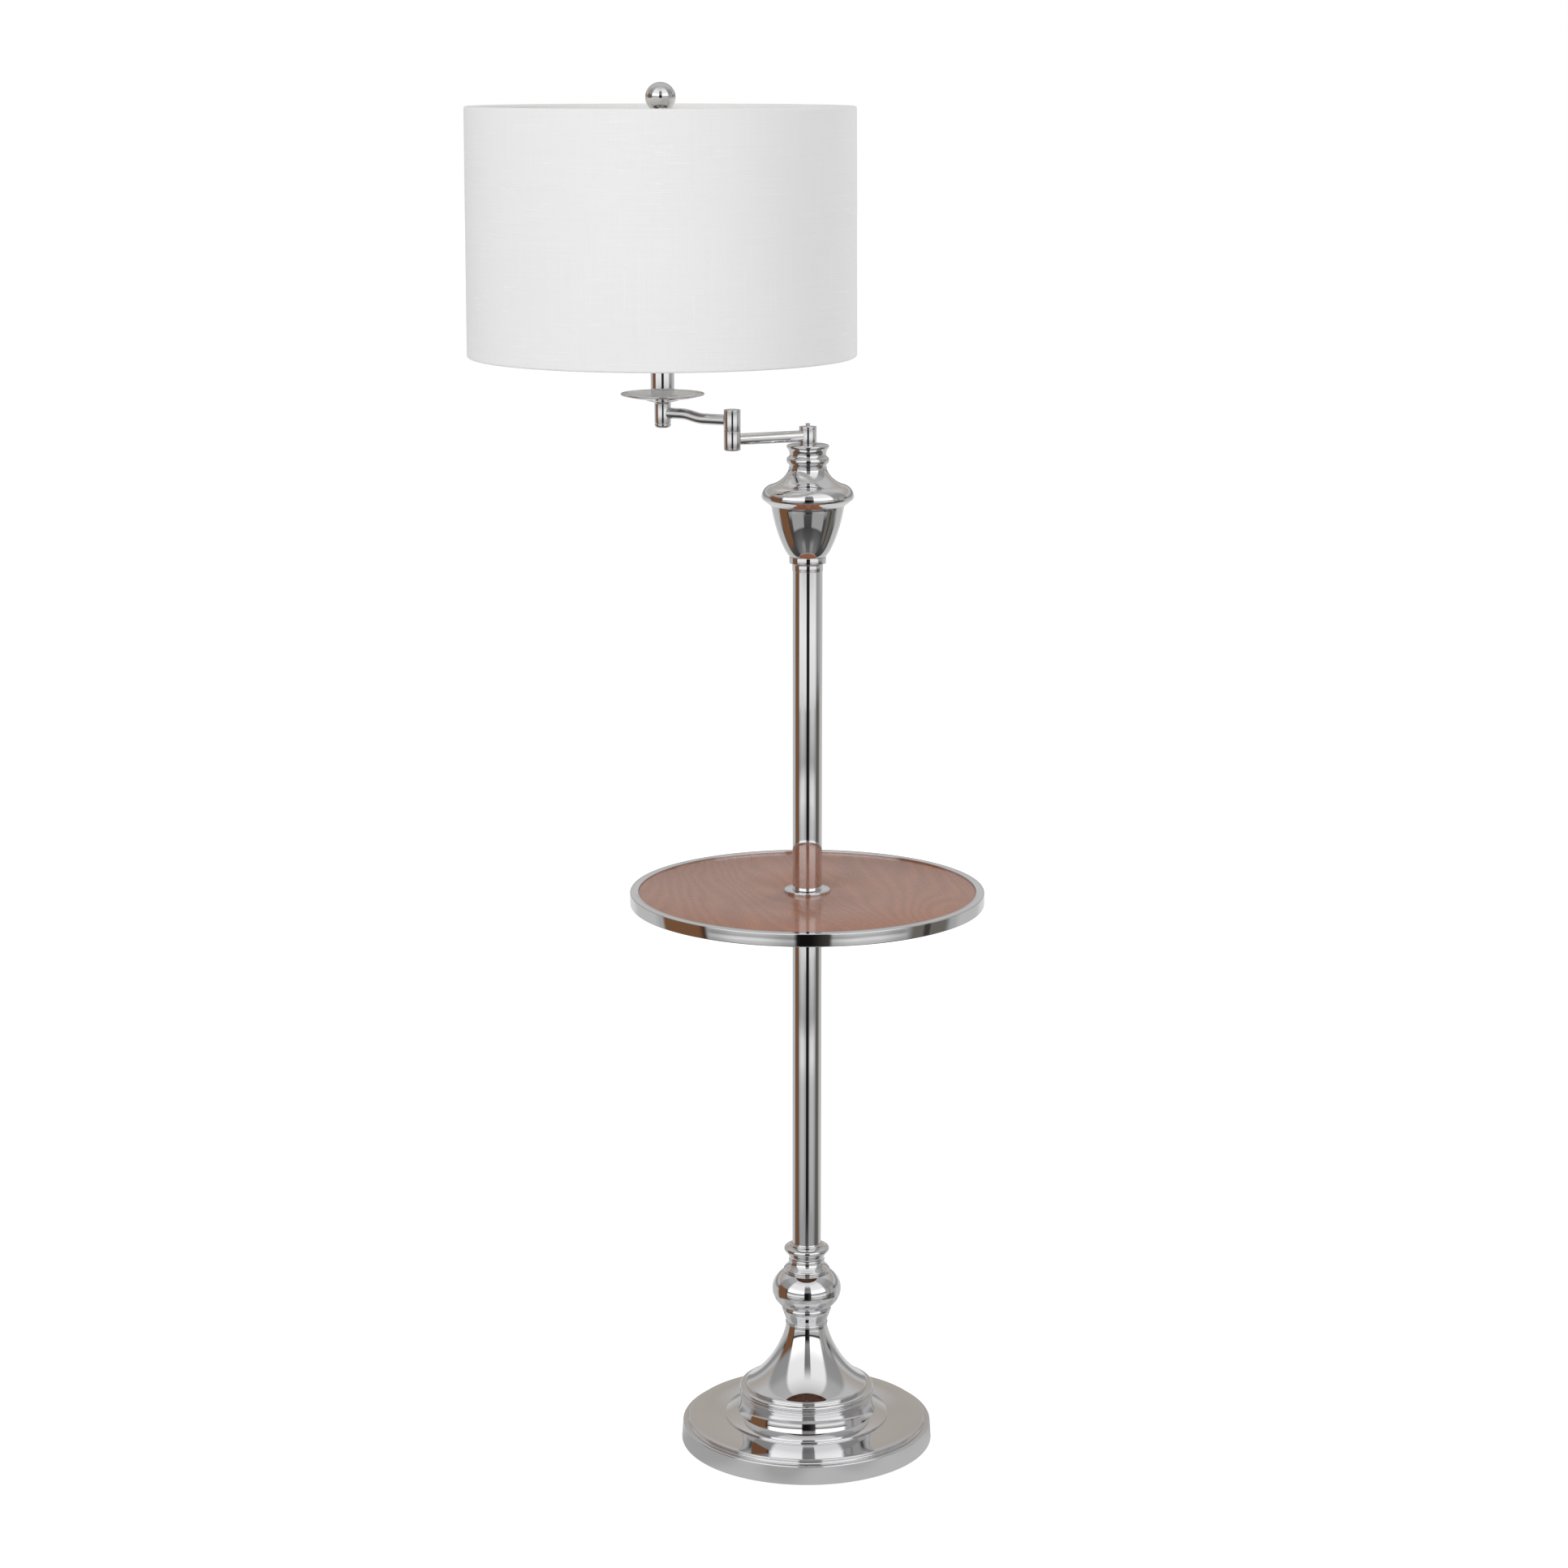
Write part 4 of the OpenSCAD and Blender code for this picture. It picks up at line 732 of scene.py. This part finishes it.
class LAMP_OT_pole(Operator):
    """Build the two tubes of the pole and the flange that clamps the table"""
    bl_idname = "lamp.pole"
    bl_label = "Pole"

    def execute(self, context):
        tube("smooth_lower_tube", "lower_tube", TUBE_WALL)
        tube("smooth_upper_tube", "upper_tube", TUBE_WALL)
        r, foot, top = spread("table_flange")
        half = (top - foot - SEAT) / 2
        side = outline([[r, foot]], arc([r - half, top - half], half, 0, 90, 10))
        chromed("smooth_flange", "table_flange", ring_cut(side))
        return {"FINISHED"}


class LAMP_OT_table(Operator):
    """Build the wooden board and its metal rim"""
    bl_idname = "lamp.table"
    bl_label = "Table"

    def execute(self, context):
        s = sizes("table")
        r, foot, top = spread("table_rim")
        inner, lip, edge = r - s.rim_wall / MM, r - s.lip_width / MM, 1.2
        under = top - s.lip_thickness / MM - SEAT
        rim = outline(arc([r - edge, foot + edge], edge, -90, 0, 10),
                      arc([r - edge, top - edge], edge, 0, 90, 10),
                      [[lip, top], [lip, under], [inner, under], [inner, foot]])
        chromed("smooth_rim", "table_rim", rim, ease=0.3)
        r, foot, top = spread("table_board")
        gap = 0.1
        lip, flange, seat = lip - gap, spread("table_flange")[0] + gap, top - SEAT
        board = outline([[BORE, foot], [r, foot], [r, seat], [lip, seat], [lip, top]],
                        [[flange, top], [flange, seat], [BORE, seat]])
        dress(turned("veneered_board", board, ease=0.3), "stand", "wood", "table_board")
        return {"FINISHED"}


class LAMP_OT_urn(Operator):
    """Build the collar, bowl, bell and crown of the urn"""
    bl_idname = "lamp.urn"
    bl_label = "Urn"

    def execute(self, context):
        s = sizes("urn")
        r, foot, top = spread("urn_collar")
        tube_r, height = spread("upper_tube")[0] + 0.5, top - foot
        ring, edge = 0.45 * height, 0.9
        collar = outline(
            [[tube_r, 0], [tube_r, ring], [tube_r - 0.8, ring + 0.4], [tube_r - 0.8, ring + 1.2]],
            arc([r - edge, ring + 1.2 + edge], edge, -90, 0, 8),
            arc([r - edge, height - edge], edge, 0, 90, 8))
        chromed("smooth_collar", "urn_collar", ring_cut(collar), foot)

        _, foot, top = spread("urn_bowl")
        start, lip, height = r - 0.4, s.bowl / 2 / MM, top - foot
        w = lip - start
        bowl = outline(
            curve([start, 0], [start + 0.35 * w, 0.13 * height], [start + 0.8 * w, 0.56 * height],
                  [lip - 0.6, height - 1.8], 60), [[lip + 0.3, height]])
        chromed("smooth_bowl", "urn_bowl", ring_cut(bowl), foot)

        r, foot, top = spread("urn_bell")
        neck, height = s.bell_neck / 2 / MM, top - foot
        w, belly, brow_z = r - neck, 0.24 * height, 0.525 * height
        brow = neck + 0.7 * w
        bell = outline(
            [[lip + 0.3, 0]], arc([r - 4.6, belly], 4.6, -55, 0, 16),
            curve([r, belly + 0.4], [r - 0.5, 0.36 * height], [r - 3.4, 0.48 * height],
                  [brow, brow_z], 24),
            curve([brow, brow_z], [neck + 0.32 * w, 0.6 * height], [neck + 0.06 * w, 0.78 * height],
                  [neck, height - 1.5]), [[neck, height]])
        chromed("smooth_bell", "urn_bell", ring_cut(bell), foot)

        r, foot, top = spread("urn_crown")
        height, waist, rim = top - foot, r - 3.1, 1.6
        crown = outline(
            [[neck - 0.6, 0], [neck - 0.6, 0.06 * height]],
            oval([r - 3.2, 0.3 * height], 3.2, 0.17 * height, -75, 75, 26),
            curve([waist, 0.53 * height], [waist - 0.2, 0.68 * height], [r - 1.6, 0.78 * height],
                  [r - 0.3, height - 2 * rim - 0.4], 24),
            arc([r - rim, height - rim - 0.5], rim, -20, 70, 14), [[r - 2 * rim, height]])
        chromed("smooth_crown", "urn_crown", ring_cut(crown), foot)
        return {"FINISHED"}


class LAMP_OT_arm(Operator):
    """Build the hub, the two arms and the elbow"""
    bl_idname = "lamp.arm"
    bl_label = "Swing arm"

    def execute(self, context):
        s = sizes("arm")
        barrel("smooth_hub", "shoulder_hub", "lower_arm", ORIGIN)
        (r, _, seat), top = spread("shoulder_hub"), spread("shoulder_cap")[2]
        stud, shelf = 2.4, top - 3.4
        cap = outline([[0, seat], [r, seat], [r, shelf], [stud, shelf], [stud, top], [0, top]])
        chromed("smooth_hub_cap", "shoulder_cap", cap, body="lower_arm", ease=0.4)

        low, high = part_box("lower_arm_tube")
        axis = (low.z + high.z) / 2 / MM
        reach = math.hypot(ELBOW[0], ELBOW[1]) / MM
        r_arm = (high.z - low.z) / 2 / MM
        course = [[r - INTO_BARREL, axis, 0], [reach - STOP_SHORT, axis, 0]]
        arm = carried("smooth_lower_arm", course, r_arm, LOWER_HEADING)
        dress(arm, "lower_arm", "chrome", "lower_arm_tube")

        barrel("smooth_elbow_socket", "elbow_socket", "lower_arm", ELBOW)
        (r, foot, _), top = spread("elbow_foot"), spread("elbow_socket")[1]
        dome = outline([[0, foot]], oval([r - 2.4, foot + 2.1], 2.4, 2.1, -90, 0, 14),
                       [[r, top - 0.5], [r - 0.3, top], [0, top]])
        chromed("smooth_elbow_foot", "elbow_foot", dome, body="lower_arm", centre=ELBOW, ease=0.2)

        barrel("smooth_elbow_barrel", "elbow_barrel", "upper_arm", ELBOW)
        (r, _, top), seat = spread("elbow_cap"), spread("elbow_barrel")[2]
        lid = outline([[0, seat], [r, seat], [r, top - 0.9], [r - 0.9, top], [r - 2.4, top],
                       [r - 2.9, top - 0.6], [0, top - 0.6]])
        chromed("smooth_elbow_cap", "elbow_cap", lid, body="upper_arm", centre=ELBOW, ease=0.3)

        # Two arcs with a straight between them, steeper than the line from end to end
        low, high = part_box("upper_arm_tube")
        rise, run, at = s.rise / MM, s.run / MM, s.bend_at / MM
        slope = 1.6 * math.atan(rise / run)
        radius = (run * math.sin(slope) - rise * math.cos(slope)) / (2 - 2 * math.cos(slope))
        r_arm = ((high.z - low.z) / MM - rise) / 2
        z0, z1 = low.z / MM + r_arm, high.z / MM - r_arm
        turn = math.degrees(slope)
        far = math.hypot(HEAD[0] - ELBOW[0], HEAD[1] - ELBOW[1]) / MM
        course = outline([[r - INTO_BARREL, z0, 0]],
                         bend(at - run / 2, z0 + radius, radius, 0, turn),
                         bend(at + run / 2, z1 - radius, radius, turn, 0),
                         [[far - STOP_SHORT, z1, 0]])
        arm = carried("smooth_upper_arm", course, r_arm, UPPER_HEADING, ELBOW)
        dress(arm, "upper_arm", "chrome", "upper_arm_tube")
        return {"FINISHED"}


class LAMP_OT_head(Operator):
    """Build the barrel, drip pan and neck under the shade"""
    bl_idname = "lamp.head"
    bl_label = "Head"

    def execute(self, context):
        s = sizes("arm")
        barrel("smooth_head_barrel", "head_stem", "upper_arm", HEAD)
        (r, foot, _), top = spread("stem_tip"), spread("head_stem")[1]
        tip = outline([[0, foot]], arc([r - 3.4, foot + 3.4], 3.4, -90, 0, 20),
                      [[r, top - 1.4], [r - 0.7, top - 0.7], [r - 0.7, top], [0, top]])
        chromed("smooth_head_tip", "stem_tip", tip, body="upper_arm", centre=HEAD, ease=0.25)

        stem, (r, foot, top) = r, spread("drip_cup")
        height = top - foot
        cup = outline(curve([stem, 0], [stem + 1, 0.5 * height], [r - 2, 0.45 * height],
                            [r, 0.75 * height], 24), [[r, height]])
        chromed("smooth_cup", "drip_cup", ring_cut(cup), foot, "upper_arm", HEAD, ease=0.2)

        cup_r, (r, foot, top) = r, spread("drip_pan")
        wall, height = s.pan_wall / MM, top - foot
        line = curve([cup_r, 0], [0.7 * r, 0], [0.8 * r, 0.35 * height],
                     [r - 2 * wall, height - 2 * wall], 30)
        pan = outline([[BORE, 0]], line, arc([r - wall, height - wall], wall, -70, 160, 22),
                      (line + [0, wall])[::-1], [[BORE, wall]])
        chromed("smooth_pan", "drip_pan", pan, foot, "upper_arm", HEAD, ease=0.2)

        tube("smooth_neck", "neck_tube", NECK_WALL, "upper_arm", HEAD)
        return {"FINISHED"}


class LAMP_OT_shade(Operator):
    """Build the linen drum, its lining and the finial"""
    bl_idname = "lamp.shade"
    bl_label = "Shade"

    def execute(self, context):
        s = sizes("shade")
        _, foot, top = spread("shade_cloth")
        height = top - foot
        inner = s.ring / 2 / MM + 0.1
        hem = inner + s.cloth / MM
        lean = (s.foot - s.top) / 2 / MM / height

        def reach(z):
            """The cloth's outer radius at height z."""
            return s.foot / 2 / MM - lean * z

        low, high = hem, height - hem
        low_x, high_x, turned_in = reach(low) - hem, reach(high) - hem, s.hem / MM
        wall = curve([low_x + hem, low], [reach(0.3 * height), 0.3 * height],
                     [reach(0.7 * height), 0.7 * height], [high_x + hem, high], 60)
        side = outline(
            wall, arc([high_x, high], hem, 0, 180, 20),
            [[high_x - hem, height - turned_in], [high_x - inner, height - turned_in]],
            arc([high_x, high], inner, 180, 0, 20), arc([low_x, low], inner, 360, 180, 20),
            [[low_x - inner, turned_in], [low_x - hem, turned_in]],
            arc([low_x, low], hem, 180, 360, 20))

        def ripple(a, z):
            """Slow waves round the drum, and the glued overlap of the cloth at the back.

            The waves are sines of 3, 7 and 13 turns, and the overlap fades over about 1 mm."""
            waves = (np.sin(3 * a + 0.6) * 0.5 + np.sin(7 * a + z * 11) * 0.3
                     + np.sin(13 * a - z * 17) * 0.2)
            off = np.abs(np.angle(np.exp(1j * (a - SEAM_AT)))) * s.foot / 2
            fold = 0.5 - 0.5 * np.tanh((off - s.seam / 2) / SEAM_FADE)
            return waves * s.ripple + fold * s.cloth * 0.7

        cloth = turned("linen_drum", side, HEAD, foot, ease=0, ripple=ripple, mapped=True)
        dress(cloth, "upper_arm", "linen", "shade_cloth")

        low, high, gap, thick = 2 * hem, height - 2 * hem, s.cloth / MM + 0.05, 0.5
        lining = outline([[reach(low) - gap, low], [reach(high) - gap, high],
                          [reach(high) - gap - thick, high], [reach(low) - gap - thick, low]])
        film = turned("smooth_lining", lining, HEAD, foot, ease=0)
        dress(film, "upper_arm", "lining", "shade_lining")

        r, foot, top = spread("finial")
        neck, skirt = 5, 7
        start = -math.degrees(math.acos(neck / r))
        ball = outline([[0, foot], [skirt, foot], [skirt, foot + 1.2], [neck, foot + 2.4]],
                       arc([0, top - r], r, start, 89.5, 80), [[0, top]])
        chromed("smooth_finial", "finial", ball, body="upper_arm", centre=HEAD, ease=0.25)
        return {"FINISHED"}


class LAMP_OT_fittings(Operator):
    """Give the solids that stay in view their own finishes"""
    bl_idname = "lamp.fittings"
    bl_label = "Fittings"

    def execute(self, context):
        slots = {s["node"]: s["material_slot"] for s in frame["record"]["subparts"]}
        for name, node in NODES.items():
            if not node.hide_render:
                node.data.materials.clear()
                node.data.materials.append(finish_of(slots[name]))
        return {"FINISHED"}


# Studio --------

# What metal sees of the studio, as [height in degrees, grey or colour] from the floor up
SOFT_BOXES = (
    [-70, 0.26], [-48, 0.16], [-38, 0.10], [-29, 0.13], [-25, 0.47], [-17, 0.62], [-15.6, 0.86],
    [-14.4, 0.80], [-13.2, 0.42], [-11, 0.60], [-8, 0.86], [-5, 1.0], [-2, 0.88], [1, 0.55],
    [6, 0.44], [6.8, 0.03], [8.6, 0.03], [9.8, 1.0], [12, 1.5], [17, 1.5], [34, 1.0], [52, 0.96],
    [75, 0.60])
SIDE_WALLS = (
    [-60, 0.06], [-27, 0.09], [-20, 0.42], [-3, 0.46], [4, 0.30], [6.4, 0.06], [9, 0.06],
    [11, 0.30], [40, 0.34], [50, 0.45], [75, 0.50])
BACK_WALL = (
    [-45, 0.60], [-3, 0.56], [4, 0.30], [9, 0.34], [14, 0.59], [21, (0.46, 0.42, 0.385)],
    [30, (0.50, 0.465, 0.43)], [42, 0.58], [75, 0.58])
BLACK, WHITE, BACKDROP = (0.0, 0.0, 0.0), (1.0, 1.0, 1.0), (0.72, 0.72, 0.72)
POOL = (0.39, 0.385, 0.38)
DOOR_EDGE, DOOR = (0.205, 0.098, 0.050), (0.06, 0.034, 0.020)
DRAPE_LOW, DRAPE, DRAPE_SEAM = (0.165, 0.152, 0.135), (0.42, 0.41, 0.40), (0.03, 0.028, 0.026)
GAP_LEFT, GAP_RIGHT = (0.008, 0.007, 0.007), (0.050, 0.045, 0.042)


def studio_walls(world, air):
    """White to the camera, soft light on the object, and for metal the studio round it.

    The metal sees two tall soft boxes, the dark gap between them, a brown door on the left, a
    grey drape on the right and a pale backdrop, by azimuth from the camera and by height, in
    degrees. Every band gives its centre, its half width and how softly it ends."""
    r = Recipe(world)
    x, y, z = r.axes(r.place("Generated"))
    azimuth = x.maths("ARCTAN2", y * -1) * (180 / math.pi)
    height = z.maths("ARCSINE") * (180 / math.pi)
    off = azimuth.maths("ABSOLUTE")
    wall = r.mix(off.over(108, 118), height.graded(*SIDE_WALLS), height.graded(*BACK_WALL))
    wall = r.mix(off.over(140, 155) * height.over(-2, 2, 1, 0), wall, BACKDROP)

    # The boxes, dimmer below the horizon away from their middle, and their pools on the floor
    level = (off.band(38, 6, 22) * 0.36 + 0.64).maths("MAXIMUM", height.over(-12, -9))
    lit = r.mix(level, BLACK, height.graded(*SOFT_BOXES))
    wall = r.mix(off.over(62, 72, 1, 0), wall, lit)
    far_pools = off.band(36, 19, 5) * height.band(-31.5, 5, 2)
    near_pools = off.band(22, 5, 9) * height.band(-56, 3, 8) * 0.6
    wall = r.mix(far_pools + near_pools, wall, POOL)

    # The door, the drape with its seam, and the gap
    low = height.over(-48, -40) * height.over(15, 23, 1, 0)
    door = r.mix(azimuth.over(-75, -69), DOOR_EDGE, DOOR)
    wall = r.mix(azimuth.band(-87, 17, 4) * low, wall, door)
    drape = r.mix(height.over(-10, -7), DRAPE_LOW, DRAPE)
    wall = r.mix(azimuth.band(86, 13, 8) * low, wall, drape)
    seam = azimuth.band(83, 1.5, 2.5) * low * height.over(-8, -5, 0.8, 0.3)
    wall = r.mix(seam, wall, DRAPE_SEAM)
    gap = r.mix(azimuth.over(1, 14), GAP_LEFT, GAP_RIGHT)
    tall = height.over(-30, -25) * height.over(13, 22, 1.0, 0.8) * height.over(40, 60, 1, 0)
    wall = r.mix(azimuth.band(3.5, 10, 3) * tall, wall, gap)

    ray = r.node("LightPath").outputs
    seen = Signal(r, ray["Is Camera Ray"]) + ray["Is Transmission Ray"]
    tint = r.mix(ray["Is Glossy Ray"], WHITE, wall)
    bright = seen.maths("MAXIMUM", ray["Is Glossy Ray"])
    strength = bright * (1 - air) + air
    back = r.node("Background", {"Color": tint, "Strength": strength})
    r.node("OutputWorld", {"Surface": back.outputs[0]})


FLOOR_GLOW = (0.58, 0.58, 0.58)
# Size and height of the glowing disc that paints the floor's reflection in the metal
FLOOR_RADIUS, REFLECTION_RADIUS, REFLECTION_Z = 30, 0.30, -0.001
AIM = (0, 0, 0.9)
LAMPS = {"key": ((-2.0, -2.9, 2.7), 1.8), "fill": ((2.6, -1.8, 1.9), 1.8),
         "back": ((2.3, 2.5, 2.3), 2.0)}


def disc(name, radius, z, count=96):
    """A flat round of the floor at height z."""
    a = around(count)
    rings = np.array([0, radius])[:, None]
    points = np.stack([rings * np.cos(a), rings * np.sin(a), np.full((2, count), z)], -1)
    return skin(name, points[::-1])


def area_lamp(name, place, size, power):
    """A square soft light at a place, turned towards AIM, that no metal mirrors."""
    data = bpy.data.lights.new(name, "AREA")
    data.size, data.energy = size, power
    lamp = bpy.data.objects.new(name, data)
    lamp.location = place
    away = np.array(place) - np.array(AIM)
    turn = math.atan2(away[1], away[0]) + math.pi / 2
    lamp.rotation_euler = (math.atan2(math.hypot(away[0], away[1]), away[2]), 0, turn)
    lamp.visible_glossy = False
    bpy.context.scene.collection.objects.link(lamp)


class LAMP_OT_stage(Operator):
    """Build the floor, the lights and the camera"""
    bl_idname = "lamp.stage"
    bl_label = "Stage"

    def execute(self, context):
        s, scene = sizes("studio"), context.scene
        floor = disc("studio_floor", FLOOR_RADIUS, 0)
        made, r = material("white_floor")
        ray = r.node("LightPath").outputs
        glow = r.mix(ray["Is Camera Ray"], BLACK, FLOOR_GLOW)
        r.finish({"Base Color": (0.8, 0.8, 0.8, 1), "Roughness": 1.0, "Specular IOR Level": 0.0,
                  "Emission Color": glow, "Emission Strength": 1.0})
        floor.data.materials.append(made)
        floor.visible_glossy = False
        # A disc under the floor that only metal sees, glowing in grey patches: painted reflection
        # of the lit floor
        reflection_disc = disc("studio_paper", REFLECTION_RADIUS, REFLECTION_Z)
        made, r = material("pale_paper")
        patches = r.noise(r.place(), 5, detail=1).over(0.42, 0.58)
        tint = r.mix(patches, (0.42, 0.415, 0.41), (0.55, 0.55, 0.55))
        shine = r.node("Emission", {"Color": tint, "Strength": 1.0})
        r.node("OutputMaterial", {"Surface": shine.outputs[0]})
        reflection_disc.data.materials.append(made)
        reflection_disc.visible_camera = reflection_disc.visible_diffuse = reflection_disc.visible_shadow = False

        for name, (place, size) in LAMPS.items():
            area_lamp(name + "_light", place, size, getattr(s, name))
        scene.world = scene.world or bpy.data.worlds.new("studio")
        studio_walls(scene.world, s.air)
        scene.view_settings.view_transform = "Standard"

        data = bpy.data.cameras.new("camera")
        data.sensor_fit, data.sensor_width, data.lens = "HORIZONTAL", 36, s.lens
        data.clip_start, data.clip_end = 0.1, 100
        camera = bpy.data.objects.new("camera", data)
        camera.location = (s.camera_side, -s.camera_distance, s.camera_height)
        camera.rotation_euler = (math.pi / 2 - s.camera_pitch, 0, 0)
        scene.collection.objects.link(camera)
        scene.camera = camera
        return {"FINISHED"}


PIECES = (LAMP_OT_stage, LAMP_OT_base, LAMP_OT_stem, LAMP_OT_pole, LAMP_OT_table, LAMP_OT_urn,
          LAMP_OT_arm, LAMP_OT_head, LAMP_OT_shade, LAMP_OT_fittings)
GROUPS = {"base": LampBaseSizes, "table": LampTableSizes, "urn": LampUrnSizes, "arm": LampArmSizes,
          "shade": LampShadeSizes, "finishes": LampFinishes, "studio": LampStudio}


class LAMP_PT_panel(Panel):
    """Sizes, finishes and steps of the floor lamp"""
    bl_idname = "LAMP_PT_panel"
    bl_label = "Floor lamp"
    bl_space_type = "VIEW_3D"
    bl_region_type = "UI"
    bl_category = "Lamp"

    def draw(self, context):
        for step in PIECES:
            self.layout.operator(step.bl_idname)
        for name, group in GROUPS.items():
            box = self.layout.box()
            for field in group.__annotations__:
                box.prop(sizes(name), field)


def register():
    """Adds the classes and each scene's groups of properties."""
    for kind in (*GROUPS.values(), *PIECES, LAMP_PT_panel):
        bpy.utils.register_class(kind)
    for name, group in GROUPS.items():
        setattr(bpy.types.Scene, "lamp_" + name, PointerProperty(type=group))


def unregister():
    """Takes away what register adds."""
    for name in GROUPS:
        delattr(bpy.types.Scene, "lamp_" + name)
    for kind in reversed((*GROUPS.values(), *PIECES, LAMP_PT_panel)):
        bpy.utils.unregister_class(kind)


def main():
    register()
    for step in PIECES:
        group, name = step.bl_idname.split(".")
        getattr(getattr(bpy.ops, group), name)()


if __name__ == "__main__":
    main()
